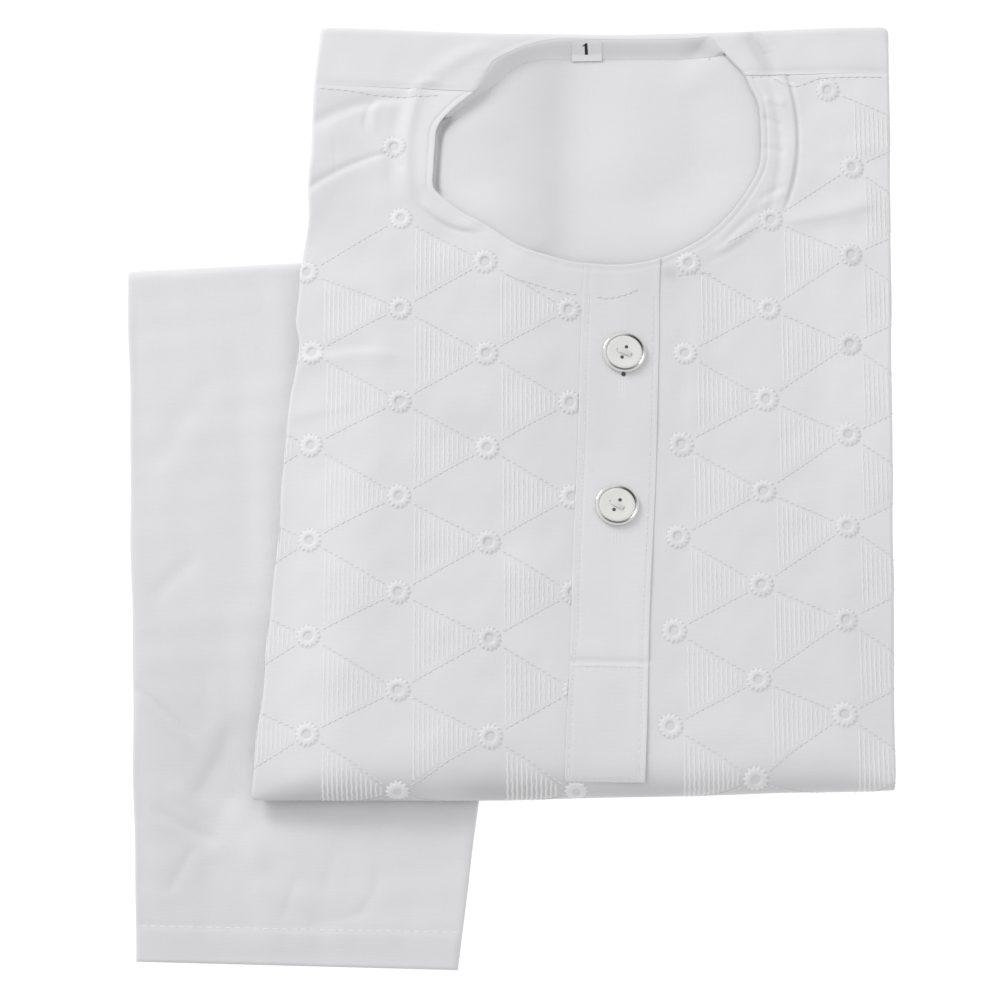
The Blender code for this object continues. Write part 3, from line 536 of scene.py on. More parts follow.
@dataclass
class Packet:
    """The folded kameez: its outline, its heights, and how cloth lies over it and round its edges."""

    height: float = 12.0
    neck: Pair = (32.5, 121.0)
    neck_lift: float = 0.9
    neck_lift_reach: float = 9.0
    lies_on: float = 6.9  # height of the shalwar with the air above it
    # How the edge is rounded: its reach in, its half height and its reach in below
    side_edge: Triple = (1.3, 1.8, 1.2)
    fold_edge: Triple = (12.0, 6.0, 2.0)
    top_edge: Triple = (2.8, 1.9, 2.0)
    # The y and the x of places along the two sides
    left_line: tuple[tuple[float, ...], ...] = ((-100.0, 98.0, 168.0), (-80.6, -65.0, -62.0))
    right_line: tuple[tuple[float, ...], ...] = ((-96.0, 169.0), (128.7, 135.0))
    outline: Outline = field(default_factory=lambda: Outline(KAMEEZ_CORNERS))

    def __post_init__(self) -> None:
        """Gives the outline its small waves, and draws the neck's edge and the facing's."""
        self.outline.wave(left_waves)
        self.neck_edge = PolarEdge(NECK_EDGE, self.neck)
        self.facing_edge = PolarEdge(FACING_EDGE, self.neck)

    def beyond_shalwar(self, x: Array, y: Array) -> Array:
        """How far a place lies outside the shalwar, towards the right or the shoulders.

        Args:
            x: plan places.
            y: the same.

        Returns:
            The distances, less than 0 over the shalwar.
        """
        foot, knee, far_knee = (np.array(p) for p in (SHALWAR_HEM[1], SHALWAR_KNEE[1], SHALWAR_KNEE[0]))
        side, top = unit(knee - foot), unit(knee - far_knee)
        right = (x - foot[0]) * side[1] - (y - foot[1]) * side[0]
        above = -(x - knee[0]) * top[1] + (y - knee[1]) * top[0]
        outside = np.hypot(np.maximum(right, 0.0), np.maximum(above, 0.0))
        return np.where(outside > 0.0, outside, np.maximum(right, above))

    def pressed(self, x: Array, y: Array) -> Array:
        """How far the stack is pressed together near its side folds."""
        left, right = x - np.interp(y, *self.left_line), np.interp(y, *self.right_line) - x
        below = rise(-y, -120.0, -84.0)
        left, right = 1.0 - rise(left, -2.0, 32.0), 1.0 - rise(right, -2.0, 20.0)
        return (1.0 - 0.5 * left * below) * (1.0 - 0.15 * right)

    def level(self, x: Array, y: Array, height: Array | float) -> Array:
        """The height above the floor of a point this high in the stack.

        Args:
            x: plan places.
            y: the same.
            height: from the stack's underside.

        Returns:
            The heights above the floor.
        """
        height = np.asarray(height, float) * self.pressed(x, y)
        beyond = self.beyond_shalwar(x, y)
        support = self.lies_on * (1.0 - rise(beyond, 8.0, 43.0))
        soft = self.lies_on * (1.0 - rise(beyond, -15.0, 60.0))
        low = np.clip(1.0 - height / 5.0, 0.0, 1.0) ** 2
        return height + soft + (support - soft) * low

    def neck_radius(self, angle: Array) -> Array:
        """The distance from the neck's middle to its edge, in a direction in radians."""
        return self.neck_edge.reach(np.asarray(angle, float))

    def neck_point(self, angle: Array, outside: Array | float = 0.0) -> Array:
        """The point of the neck's edge in a direction, or this far outside it."""
        reach = self.neck_radius(angle) + outside
        return np.stack([self.neck[0] + reach * np.cos(angle), self.neck[1] + reach * np.sin(angle)], axis=-1)

    def outside_neck(self, x: Array, y: Array) -> Array:
        """How far a place lies outside the neck's edge, seen from its middle."""
        dx, dy = x - self.neck[0], y - self.neck[1]
        return np.hypot(dx, dy) - self.neck_radius(np.arctan2(dy, dx))

    def relief(self, x: Array, y: Array) -> Array:
        """What stands up from the smooth chest: the neck edge, the creases and a soft unevenness.

        Args:
            x: plan places.
            y: the same.

        Returns:
            The heights above the smooth chest.
        """
        away = self.outside_neck(x, y)
        angle = np.arctan2(y - self.neck[1], x - self.neck[0])
        front = rise(-np.sin(angle), 0.55, 0.95)
        lift = self.neck_lift * (1.0 - 0.6 * front - 0.85 * rise(np.sin(angle), 0.3, 0.6))
        lift = lift * np.exp(-((np.maximum(away, 0.0) / self.neck_lift_reach) ** 2))
        strip = 1.0 - rise(np.abs(x - (36.5 + (y + 8.0) * 0.045)), 14.0, 22.0)
        soft = 0.16 * drift(x, y, 3, 34.0) + 0.05 * drift(x, y, 5, 13.0)
        groove = -0.22 * np.exp(-(((away - 2.0) / 0.55) ** 2)) * (1.0 - 0.6 * rise(np.sin(angle), 0.3, 0.6))
        return lift + groove + (summed(FRONT_CREASES, x, y) + soft) * (1.0 - 0.8 * strip)

    def edge_form(self, length: Array) -> tuple[Array, Array, Array]:
        """How the edge is rounded at lengths along the outline: reach in, half height, reach in below.

        Args:
            length: along the outline.

        Returns:
            The three measures at those lengths.
        """
        at, total = self.outline.corner_at, self.outline.total
        length = np.asarray(length) % total
        from_top = np.maximum(at["shoulder_right"] - length, 0.0)
        from_top = np.where(length < at["fold_left"], length, from_top)
        fold = rise(length, at["fold_left"] - 6.0, at["fold_left"] + 30.0)
        fold = fold * (1.0 - rise(length, at["fold_right"] - 18.0, at["fold_right"] + 4.0))
        top = 1.0 - rise(from_top, 0.0, 12.0)
        edges = zip(self.side_edge, self.fold_edge, self.top_edge)
        return tuple(side + (low - side) * fold + (high - side) * top for side, low, high in edges)

    def quarter(self, reach: Array, half: Array) -> Array:
        """The length of cloth round a quarter of the edge."""
        return 0.5 * math.pi * np.sqrt((reach**2 + half**2) / 2)

    def place(self, u: Array, v: Array) -> Array:
        """Cloth coordinates to points on the packet: flat on top, and rolled over its edges.

        Args:
            u: cloth coordinates.
            v: the same.

        Returns:
            The points.
        """
        u, v = np.broadcast_arrays(np.asarray(u, float), np.asarray(v, float))
        inset, length = self.outline.nearest(u, v)
        reach, half, under = self.edge_form(length)
        over = np.maximum(reach - inset, 0.0)
        upper, lower = self.quarter(reach, half), self.quarter(under, half)
        turn = np.clip(over / upper, 0.0, 1.0) + np.clip((over - upper) / lower, 0.0, 1.0)
        turn = turn * 0.5 * math.pi
        edge, inward = self.outline.at(length), self.outline.inward(length)
        rolled = np.where(turn < 0.5 * math.pi, reach, under) * (1.0 - np.sin(turn))
        rolled = rolled + np.maximum(over - upper - lower, 0.0)
        plan = edge + inward * rolled[..., None]
        flat = over <= 0.0
        x, y = np.where(flat, u, plan[..., 0]), np.where(flat, v, plan[..., 1])
        height = self.height - half + half * np.cos(turn)
        z = self.level(x, y, height) + np.clip(np.cos(turn), 0.0, 1.0) * self.relief(x, y)
        return np.stack([x, y, z], axis=-1)

    def rolled_away(self, u: Array, v: Array) -> Array:
        """Which cloth coordinates lie past the underside of the rolled edge."""
        inset, length = self.outline.nearest(u, v)
        reach, half, under = self.edge_form(length)
        return reach - inset > self.quarter(reach, half) + 0.5 * self.quarter(under, half)


# Meshes


@dataclass
class Gathered:
    """Vertices and faces gathered from many small pieces, for one joined mesh."""

    points: list[Array] = field(default_factory=list)
    cloth: list[Array] = field(default_factory=list)
    faces: list[Array] = field(default_factory=list)
    count: int = 0

    def add(self, points: Array, faces: Array, cloth: Array | None = None) -> None:
        """Adds a piece.

        Args:
            points: its points, in the plan's millimetres.
            faces: rows of point numbers, counted from the piece's first point.
            cloth: the cloth coordinates of its points, or none to use their x and y.
        """
        points = points.reshape(-1, 3)
        self.points.append(points)
        self.cloth.append(points[:, :2] if cloth is None else np.reshape(cloth, (-1, 2)))
        self.faces.append(np.asarray(faces) + self.count)
        self.count += len(points)

    def build(self, workshop: "Workshop", name: str, finish: Material) -> Piece:
        """Makes the one mesh object, with its name and its material."""
        faces = [row for part in self.faces for row in part.tolist()]
        return workshop.piece(name, np.vstack(self.points), faces, finish, np.vstack(self.cloth))


def grid_faces(rows: int, columns: int, closed: bool = False) -> Array:
    """The quads of a grid of points, row by row."""
    i, j = np.meshgrid(np.arange(rows - 1), np.arange(columns if closed else columns - 1), indexing="ij")
    k = (j + 1) % columns
    near, far = i * columns, (i + 1) * columns
    return np.stack([near + j, near + k, far + k, far + j], axis=-1).reshape(-1, 4)


def many_grids(grids: Array) -> Array:
    """The quads of many grids of the same size, stacked in an array of grids, rows, columns and xyz."""
    count, rows, columns = grids.shape[:3]
    one = grid_faces(rows, columns)
    return (one[None] + (np.arange(count) * rows * columns)[:, None, None]).reshape(-1, 4)


class Workshop:
    """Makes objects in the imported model's frame."""

    def __init__(self) -> None:
        """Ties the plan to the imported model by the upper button."""
        low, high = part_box("button_1")
        middle = (low + high) / 2 / METRE
        self.shift = np.array([middle.x - BUTTON_PLAN[0], middle.y - BUTTON_PLAN[1], 0.0])
        self.triangles = 0

    def piece(
        self,
        name: str,
        points: Array,
        faces: list,
        finish: Material,
        cloth: Array | None = None,
        tone: Array | None = None,
    ) -> Piece:
        """Makes one mesh object that rides on the part.

        Args:
            name: its name.
            points: its points, in the plan's millimetres.
            faces: its faces.
            finish: its material.
            cloth: the cloth coordinates of its points, in millimetres.
            tone: the share by which the colour changes at its points, as painted shade and painted light.

        Returns:
            The object.
        """
        mesh = bpy.data.meshes.new(name)
        faces = faces if isinstance(faces, list) else faces.tolist()
        mesh.from_pydata(((points.reshape(-1, 3) + self.shift) * METRE).tolist(), [], faces)
        mesh.materials.append(finish)
        mesh.shade_smooth()
        if cloth is not None:
            cloth = np.reshape(cloth, (-1, 2))
            stored = mesh.attributes.new("cloth", "FLOAT_VECTOR", "POINT")
            stored.data.foreach_set("vector", np.column_stack([cloth, np.zeros(len(cloth))]).ravel())
        if tone is not None:
            mesh.attributes.new("tone", "FLOAT", "POINT").data.foreach_set("value", np.ravel(tone))
        made = bpy.data.objects.new(name, mesh)
        bpy.context.scene.collection.objects.link(made)
        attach(made, "root")
        mesh.calc_loop_triangles()
        self.triangles += len(mesh.loop_triangles)
        log.info("%s: %d triangles", name, len(mesh.loop_triangles))
        return made

    def sheet(
        self,
        name: str,
        rows: Sequence[Array],
        finish: Material,
        cloth: Sequence[Array],
        tone: Array | None = None,
        closed: bool = False,
        flipped: bool = False,
    ) -> Piece:
        """Makes one mesh object from rows of points.

        Args:
            name: its name.
            rows: its rows of points, in the plan's millimetres.
            finish: its material.
            cloth: the cloth coordinates of those rows.
            tone: the share by which the colour changes at them, as painted shade and painted light.
            closed: whether each row runs back to its start.
            flipped: whether its faces look the other way.

        Returns:
            The object.
        """
        grid = np.array(rows)[:, ::-1]
        faces = grid_faces(*grid.shape[:2], closed)
        faces = faces[:, ::-1] if flipped else faces
        tone = None if tone is None else tone[:, ::-1]
        return self.piece(name, grid, faces, finish, np.array(cloth)[:, ::-1], tone)


def framed(place: Place, u: Array, v: Array, step: float = 0.4) -> tuple[Array, Array, Array, Array]:
    """Points of a surface with its two unit directions and its unit normal.

    Args:
        place: the surface, from cloth coordinates to points.
        u: cloth coordinates.
        v: the same.
        step: how far apart the places are that give the directions.

    Returns:
        The points, the direction of u, the direction of v and the normal.
    """
    here = place(u, v)
    along_u = unit(place(u + step, v) - place(u - step, v))
    along_v = unit(place(u, v + step) - place(u, v - step))
    return here, along_u, along_v, unit(np.cross(along_u, along_v))


@dataclass
class Thread:
    """Sewing and embroidery thread that lies on a surface."""

    place: Place
    gathered: Gathered = field(default_factory=Gathered)
    holes: Gathered = field(default_factory=Gathered)

    def stitches(self, path: Array, length: float, gap: float, width: float, high: float) -> None:
        """A row of running stitches along a path, with a needle hole between each two.

        Args:
            path: the path in cloth coordinates.
            length: of a stitch.
            gap: between two stitches.
            width: of the thread.
            high: how far it stands up.
        """
        steps = np.linalg.norm(np.diff(path, axis=0), axis=1)
        lengths = np.concatenate([[0.0], np.cumsum(steps)])
        count = max(1, round(lengths[-1] / (length + gap)))
        pitch = lengths[-1] / count
        shares = np.array([0.0, 0.16, 0.5, 0.84, 1.0])
        at = pitch * (np.arange(count)[:, None] + 0.5) + (pitch - gap) * (shares[None] - 0.5)
        u, v = (np.interp(at, lengths, path[:, k]) for k in (0, 1))
        here, across, ahead, normal = framed(self.place, u, v)
        du, dv = np.gradient(u, axis=1), np.gradient(v, axis=1)
        size = np.hypot(du, dv)
        side = unit(across * (-dv / size)[..., None] + ahead * (du / size)[..., None])
        swell = np.array([0.35, 0.9, 1.0, 0.9, 0.35])[None, :, None]
        dip = np.array([-0.12, 0.5, 1.0, 0.5, -0.12])[None, :, None] * high
        ring = []
        for turn in np.radians((-20.0, 45.0, 135.0, 200.0)):
            out, up = 0.5 * width * math.cos(turn), dip + high * 0.6 * math.sin(turn) * swell
            ring.append(here + side * out * swell + normal * up)
        grids = np.stack(ring, axis=2)
        cloth = np.repeat(np.stack([u, v], axis=-1)[:, :, None, :], 4, axis=2)
        self.gathered.add(grids, many_grids(grids), cloth)
        ends = pitch * np.arange(1, count)
        if len(ends):
            u, v = (np.interp(ends, lengths, path[:, k]) for k in (0, 1))
            self.needle_holes(u, v, gap * 0.36)

    def needle_holes(self, u: Array, v: Array, radius: float) -> None:
        """Small discs painted dark at places, as painted shade in holes.

        Args:
            u: cloth coordinates.
            v: the same.
            radius: of a hole.
        """
        here, across, ahead, normal = framed(self.place, u, v)
        turns = np.radians(np.arange(0.0, 360.0, 60.0))
        cosine, sine = np.cos(turns)[None, :, None], np.sin(turns)[None, :, None]
        rim = here[:, None] + radius * (cosine * across[:, None] + sine * ahead[:, None])
        faces = np.arange(6)[None] + 6 * np.arange(len(u))[:, None]
        self.holes.add(rim + 0.06 * normal[:, None], faces)

    def satin(self, ribs: Sequence[tuple], width: float, high: float) -> None:
        """Upright satin ribs.

        Args:
            ribs: rows of u, lowest v and highest v.
            width: of a rib.
            high: how far it stands up.
        """
        for samples in {self.rib_samples(low, top) for _, low, top in ribs}:
            rows = np.array([r for r in ribs if self.rib_samples(r[1], r[2]) == samples])
            share = np.linspace(0.0, 1.0, samples)[None]
            v = rows[:, 1:2] + (rows[:, 2:3] - rows[:, 1:2]) * share
            u = rows[:, :1] + 0.12 * np.sin(v * 1.7 + rows[:, :1] * 3.0)
            here, across, _, normal = framed(self.place, u, v)
            stitch = 0.82 + 0.18 * np.sin(v * 2.6 + rows[:, :1] * 7.0)
            taper = np.minimum(1.0, 0.25 + 6.0 * np.minimum(share, 1.0 - share))
            size = (stitch * taper)[..., None]
            low, top = -normal * 0.04, normal * high * 0.8 * size
            profile = ((-0.5, low), (-0.25, top), (0.25, top), (0.5, low))
            grids = np.stack([here + across * side * width + lift for side, lift in profile], axis=2)
            cloth = np.repeat(np.stack([u, v], axis=-1)[:, :, None, :], 4, axis=2)
            cloth[:, :, 1:3, 0] += np.array([-0.25, 0.25]) * width
            self.gathered.add(grids, many_grids(grids), cloth)

    @staticmethod
    def rib_samples(low: float, top: float) -> int:
        """How many cross-sections a rib of this length has."""
        return 3 + 3 * int((top - low) / 4.0)


# Finishes


class Value:
    """A shader socket that can be written in sums and products."""

    def __init__(self, graph: "Graph", socket: bpy.types.NodeSocket) -> None:
        """Wraps a socket of a graph."""
        self.graph = graph
        self.socket = socket

    def _math(self, operation: str, *values: "Value | float") -> "Value":
        """A Math node on these values."""
        return self.graph.value("ShaderNodeMath", {"operation": operation}, dict(enumerate(values)))

    def __add__(self, other: "Value | float") -> "Value":
        """Sum."""
        return self._math("ADD", self, other)

    __radd__ = __add__

    def __mul__(self, other: "Value | float") -> "Value":
        """Product."""
        return self._math("MULTIPLY", self, other)

    __rmul__ = __mul__

    def wave(self) -> "Value":
        """Its sine."""
        return self._math("SINE", self)


class Graph:
    """The node tree of one material."""

    def __init__(self, name: str) -> None:
        """Makes a material with a Principled shader."""
        self.material = bpy.data.materials.new(name)
        self.material.use_nodes = True
        self.tree = self.material.node_tree
        self.shader = self.tree.nodes["Principled BSDF"]

    def node(self, kind: str, settings: dict, inputs: dict) -> bpy.types.Node:
        """Any node.

        Args:
            kind: the node's type.
            settings: its settings, which are set first.
            inputs: values or links of its sockets, by name or number.

        Returns:
            The node.
        """
        node = self.tree.nodes.new(kind)
        for key, value in settings.items():
            setattr(node, key, value)
        self.feed(node, inputs)
        return node

    def value(self, kind: str, settings: dict, inputs: dict, output: int | str = 0) -> Value:
        """One output of a new node."""
        return Value(self, self.node(kind, settings, inputs).outputs[output])

    def feed(self, node: bpy.types.Node, inputs: dict) -> None:
        """Sets or links sockets of a node.

        Args:
            node: the node.
            inputs: values or links, by the name or number of their socket.
        """
        for key, value in inputs.items():
            if isinstance(value, Value):
                self.tree.links.new(value.socket, node.inputs[key])
            else:
                node.inputs[key].default_value = value

    def stored(self, name: str, output: str) -> Value:
        """What a mesh stores at its points."""
        return self.value("ShaderNodeAttribute", {"attribute_name": name}, {}, output)

    def where(self) -> Value:
        """The place on an object, in metres."""
        return self.value("ShaderNodeTexCoord", {}, {}, "Object")

    def toned(self, colour: Value) -> Value:
        """A colour made lighter or darker by the stored tone, which holds painted shade, painted light and
        painted reflections.
        """
        inputs = {0: colour, "Scale": self.stored("tone", "Fac") + 1.0}
        return self.value("ShaderNodeVectorMath", {"operation": "SCALE"}, inputs)

    def scaled(self, vector: Value, by: Triple) -> Value:
        """A vector multiplied along each axis."""
        return self.value("ShaderNodeVectorMath", {"operation": "MULTIPLY"}, {0: vector, 1: by})

    def noise(self, vector: Value, scale: float, detail: float, roughness: float = 0.5) -> Value:
        """A noise from 0 to 1."""
        inputs = {"Vector": vector, "Scale": scale, "Detail": detail, "Roughness": roughness}
        return self.value("ShaderNodeTexNoise", {}, inputs, "Fac")

    def mixed(self, share: Value, first: Sequence[float], second: Sequence[float]) -> Value:
        """A colour between two, by share."""
        inputs = {0: share, 6: (*first, 1.0), 7: (*second, 1.0)}
        return self.value("ShaderNodeMix", {"data_type": "RGBA"}, inputs, 2)

    def bump(self, height: Value, strength: float, distance: float) -> Value:
        """A normal from a height, with a strength from 0 to 1 and the metres of a unit of height."""
        inputs = {"Height": height, "Strength": strength, "Distance": distance}
        return self.value("ShaderNodeBump", {}, inputs)


class Weave(Enum):
    """Which way the threads of a surface run."""

    PLAIN = "both ways"
    ALONG = "along v"
    RADIAL = "loose loops"


@dataclass(frozen=True)
class CottonFinish:
    """Woven cotton or cotton thread."""

    name: str
    colour: Triple
    weave: Weave = Weave.PLAIN
    thread: float = 0.42  # pitch of the threads
    slub: float = 0.045  # how much thick threads show in the colour
    relief: float = 0.00006
    strength: float = 0.55
    roughness: float = 0.88
    sheen: float = 0.12

    def material(self) -> Material:
        """Builds the material."""
        graph = Graph(self.name)
        cloth = graph.stored("cloth", "Vector")
        axes = graph.node("ShaderNodeSeparateXYZ", {}, {0: cloth}).outputs
        across, along = Value(graph, axes[0]), Value(graph, axes[1])
        turns = 2 * math.pi / self.thread
        weft = graph.noise(graph.scaled(cloth, (0.10, 2.3, 1.0)), 1.0, 3.0, 0.6)
        warp = graph.noise(graph.scaled(cloth, (2.3, 0.12, 1.0)), 1.0, 3.0, 0.6)
        cloudy = graph.noise(cloth, 0.045, 3.0)
        if self.weave is Weave.PLAIN:
            threads = (across * turns).wave() * 0.25 + (along * turns).wave() * 0.25
            height = threads + weft * 1.3 + warp * 1.1
        elif self.weave is Weave.ALONG:
            height = (across * turns).wave() * 0.4 + (along * (turns / 5)).wave() * 0.3 + warp
        else:
            height = graph.noise(cloth, 2.2, 3.0) * 1.5
        tone = weft * 0.5 + warp * 0.3 + cloudy * 0.4
        dark = tuple(c * (1.0 - self.slub) for c in self.colour)
        light = tuple(min(1.0, c * (1.0 + self.slub)) for c in self.colour)
        inputs = {
            # the stored tone paints shade and light into the colour
            "Base Color": graph.toned(graph.mixed(tone, dark, light)),
            "Roughness": self.roughness,
            "Sheen Weight": self.sheen,
            "Sheen Roughness": 0.6,
            "Specular IOR Level": 0.25,
            "Normal": graph.bump(height, self.strength, self.relief),
        }
        graph.feed(graph.shader, inputs)
        return graph.material


@dataclass(frozen=True)
class HardFinish:
    """A polished or plain hard surface with a slight unevenness."""

    name: str
    colour: Triple
    second: Triple
    roughness: float = 0.3
    metallic: float = 0.0
    coat: float = 0.0
    grain: float = 300.0
    relief: float = 0.00002

    def material(self) -> Material:
        """Builds the material."""
        graph = Graph(self.name)
        cloud = graph.noise(graph.where(), self.grain, 4.0, 0.6)
        fine = graph.noise(graph.where(), self.grain * 9.0, 2.0)
        inputs = {
            # the stored tone paints the rim's reflections into its colour
            "Base Color": graph.toned(graph.mixed(cloud, self.colour, self.second)),
            "Roughness": fine * 0.12 + (self.roughness - 0.06),
            "Metallic": self.metallic,
            "Coat Weight": self.coat,
            "Normal": graph.bump(cloud, 0.3, self.relief),
        }
        graph.feed(graph.shader, inputs)
        return graph.material


FINISHES = {
    "voile": CottonFinish("cotton voile", (0.735, 0.735, 0.75)),
    "inside": CottonFinish("cotton voile, inside", (0.765, 0.765, 0.78)),
    "trouser": CottonFinish("trouser cotton", (0.725, 0.725, 0.74), slub=0.04),
    "satin": CottonFinish(
        "satin stitch", (0.78, 0.78, 0.79), Weave.ALONG, 0.3, 0.03, roughness=0.62, sheen=0.2
    ),
    "loops": CottonFinish(
        "looped thread", (0.76, 0.76, 0.77), Weave.RADIAL, 0.3, 0.04, roughness=0.65, sheen=0.2
    ),
    # painted shade: dark discs in needle holes and in the gaps between the rings' loops
    "shade": CottonFinish("needle hole", (0.67, 0.67, 0.69), slub=0.1, sheen=0.0),
    # painted shade: discs in the rings' open centres
    "centre_shade": CottonFinish("open centre", (0.70, 0.70, 0.72), slub=0.04),
    "tape": CottonFinish("label tape", (0.80, 0.80, 0.81), thread=0.25, slub=0.015, roughness=0.55),
    "ink": HardFinish("black ink", (0.01, 0.01, 0.01), (0.02, 0.02, 0.02), 0.7),
    "pearl": HardFinish("pearly plastic", (0.76, 0.76, 0.735), (0.82, 0.82, 0.80), 0.3, 0.0, 0.4, 240.0),
    "silver": HardFinish("silver rim", (0.86, 0.86, 0.85), (0.93, 0.93, 0.92), 0.18, 1.0, 0.0, 700.0),
    # painted shade: black discs deep in the buttons' holes and at the buttonhole's end
    "hole_shade": HardFinish("button hole", (0.07, 0.07, 0.07), (0.10, 0.10, 0.10), 0.8),
}
Finishes = dict[str, Material]


@dataclass
class Piecework:
    """What every sub-assembly is made from: the packet's forms, the workshop and the materials."""

    packet: Packet
    shop: Workshop
    finishes: Finishes


# The kameez


@dataclass
class KameezBody(Piecework):
    """The front, and the back with its yoke and the panel seen through the neck."""

    seam_left_y: float = 147.0
    seam_right_y: float = 151.5
    turned_edge: float = 6.0  # how wide the edge is turned under at the neck
    edge_thick: float = 0.8  # of that edge
    round_rows: int = 15  # over the packet's rounded edge
    columns_front: int = 470
    rows_front: int = 165
    columns_back: int = 280
    rows_back: int = 26
    panel_end_y: float = -80.0

    def wrapped(
        self, lengths: Array, angles: Array, shares: Array, wrap: float
    ) -> tuple[list[Array], list[Array]]:
        """Rows of cloth from the neck's turned edge to the packet's edge and round it.

        Args:
            lengths: along the outline, one for each column.
            angles: of the columns' points of the neck's edge.
            shares: of the way to where the edge starts to round, one for each row.
            wrap: the share of the edge's lower quarter that is covered.

        Returns:
            The rows of points and the rows of cloth coordinates.
        """
        packet = self.packet
        edge, neck = packet.outline.at(lengths), packet.neck_point(angles)
        way = unit(edge - neck)
        cosine = np.clip(-(way * packet.outline.inward(lengths)).sum(axis=1), 0.35, 1.0)
        to_edge = ((edge - neck) * way).sum(axis=1)
        reach, half, under = packet.edge_form(lengths)
        start = np.maximum(to_edge - reach / cosine, 0.4)
        end = start + (packet.quarter(reach, half) + wrap * packet.quarter(under, half)) / cosine
        rows, cloth = [], []
        turned = ((self.turned_edge, 0.9), (1.2, 0.85), (0.35, 0.75), (0.05, 0.55), (0.0, 0.36), (0.08, 0.16))
        for back, drop in turned:
            plan = neck + way * np.minimum(back, 0.4 * to_edge)[:, None]
            rows.append(packet.place(*plan.T) - (0.0, 0.0, drop * self.edge_thick))
            cloth.append(neck + way * (self.turned_edge - len(cloth)))
        spans = [(0.25, start, share) for share in shares]
        spans += [(start, end, share) for share in np.linspace(0.0, 1.0, self.round_rows)[1:]]
        for first, last, share in spans:
            plan = neck + way * (first + (last - first) * share)[:, None]
            rows.append(packet.place(*plan.T))
            cloth.append(plan)
        return rows, cloth

    def front(self) -> Piece:
        """The embroidered front panel, over the sides and the lower fold."""
        outline = self.packet.outline
        first = outline.side_at_y(self.seam_left_y, "shoulder_left", "fold_left")
        last = outline.side_at_y(self.seam_right_y, "fold_right", "shoulder_right")
        # length, the neck's direction and the share of the columns up to there
        stations = (
            (first, 151.0, 0.0),
            (first + 72.0, 178.0, 0.23),
            (outline.corner_at["fold_left"], 243.0, 0.42),
            (outline.corner_at["fold_right"], 294.0, 0.64),
            (last - 90.0, 346.0, 0.78),
            (last, 388.8, 1.0),
        )
        at, turns, counts = np.array(stations).T
        lengths = np.interp(np.linspace(0.0, 1.0, self.columns_front), counts, at)
        angles = np.radians(np.interp(lengths, at, turns))
        shares = np.linspace(0.0, 1.0, self.rows_front) ** 1.12
        rows, cloth = self.wrapped(lengths, angles, shares, 0.62)
        tone = shaded(rows, FRONT_SHADES)
        made = self.shop.sheet("kameez_front_cloth", rows, self.finishes["voile"], cloth, tone)
        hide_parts("kameez_front")
        return made

    def panel_height(self, x: Array, y: Array) -> Array:
        """The height in the stack of the back panel's upper face.

        Args:
            x: plan places.
            y: the same.

        Returns:
            The heights, before the stack is pressed.
        """
        angle = np.arctan2(y - self.packet.neck[1], x - self.packet.neck[0])
        outside = self.packet.outside_neck(x, y)
        front = np.maximum(rise(-np.sin(angle), -0.55, -0.1), rise(np.cos(angle), 0.62, 0.8))
        near = rise(outside, -26.0, 0.0) * front
        chest = rise(-y, -76.0, -26.0)
        gap = 1.4 * np.exp(-(((outside + 1.2) / 0.95) ** 2)) * rise(-np.cos(angle), 0.945, 0.972)
        near = near * (1.6 + 1.3 * rise(np.cos(angle), 0.1, 0.7) + 0.9 * rise(-np.cos(angle), 0.3, 0.8))
        return 8.0 + np.maximum(near * (1.0 - chest), 1.8 * chest) - gap

    def panel_top(self, x: Array, y: Array) -> Array:
        """The height of the panel's upper face above the floor, with its creases."""
        soft = summed(PANEL_CREASES, x, y) + 0.12 * drift(x, y, 11, 26.0)
        inner = rise(self.packet.outside_neck(x, y), -8.0, 6.0)
        return self.packet.level(x, y, self.panel_height(x, y)) + soft * (1.0 - inner)

    def back(self) -> Piece:
        """The back: the yoke over the shoulders, the fold at the top and the panel inside."""
        outline = self.packet.outline
        right = outline.corner_at["shoulder_right"]
        left = outline.corner_at["shoulder_left"] + outline.total
        start = outline.side_at_y(self.seam_right_y, "fold_right", "shoulder_right")
        end = outline.side_at_y(self.seam_left_y, "shoulder_left", "armhole_left") + outline.total
        # length and the neck's direction there
        stations = (
            (start, 29.0),
            (right, 36.0),
            (right + 59.0, 44.5),
            (right + 134.0, 131.0),
            (left, 145.0),
            (end, 150.8),
        )
        lengths = np.linspace(start, end, self.columns_back)
        angles = np.radians(np.interp(lengths, *np.array(stations).T))
        rows, cloth = self.wrapped(lengths, angles, np.linspace(0.0, 1.0, self.rows_back), 1.0)
        wrapped = rows[-1][:, :2]
        even = np.linspace(1.0, 0.0, len(lengths))
        across = 0.3 * even + 0.7 * (wrapped[:, 0] - wrapped[:, 0].min()) / np.ptp(wrapped[:, 0])
        levels = np.concatenate([np.linspace(161.0, 74.0, 84), np.linspace(70.0, self.panel_end_y, 26)])
        for i, row_y in enumerate(levels):
            margin = 3.6 + 4.0 * rise(-row_y, 45.0, 75.0)
            sides = (
                outline.at(outline.side_at_y(row_y, "shoulder_left", "fold_left"))[0] + margin,
                outline.at(outline.side_at_y(row_y, "fold_right", "shoulder_right"))[0] - margin,
            )
            x = sides[0] + (sides[1] - sides[0]) * across
            share = min(1.0, (i + 1) / 14)
            x = wrapped[:, 0] + (x - wrapped[:, 0]) * share
            y = wrapped[:, 1] + (row_y - wrapped[:, 1]) * share
            y = np.minimum(y, rows[-1][:, 1] - 0.2)
            rows.append(np.column_stack([x, y, self.panel_top(x, y)]))
            cloth.append(np.column_stack([x, y]))
        rows = np.array(rows)
        inside = self.packet.outside_neck(rows[..., 0], rows[..., 1]) < 0.0
        tone = np.where(inside, shaded(rows, PANEL_SHADES), shaded(rows, BACK_SHADES))
        made = self.shop.sheet("kameez_back_cloth", rows, self.finishes["voile"], cloth, tone)
        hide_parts("kameez_back")
        return made

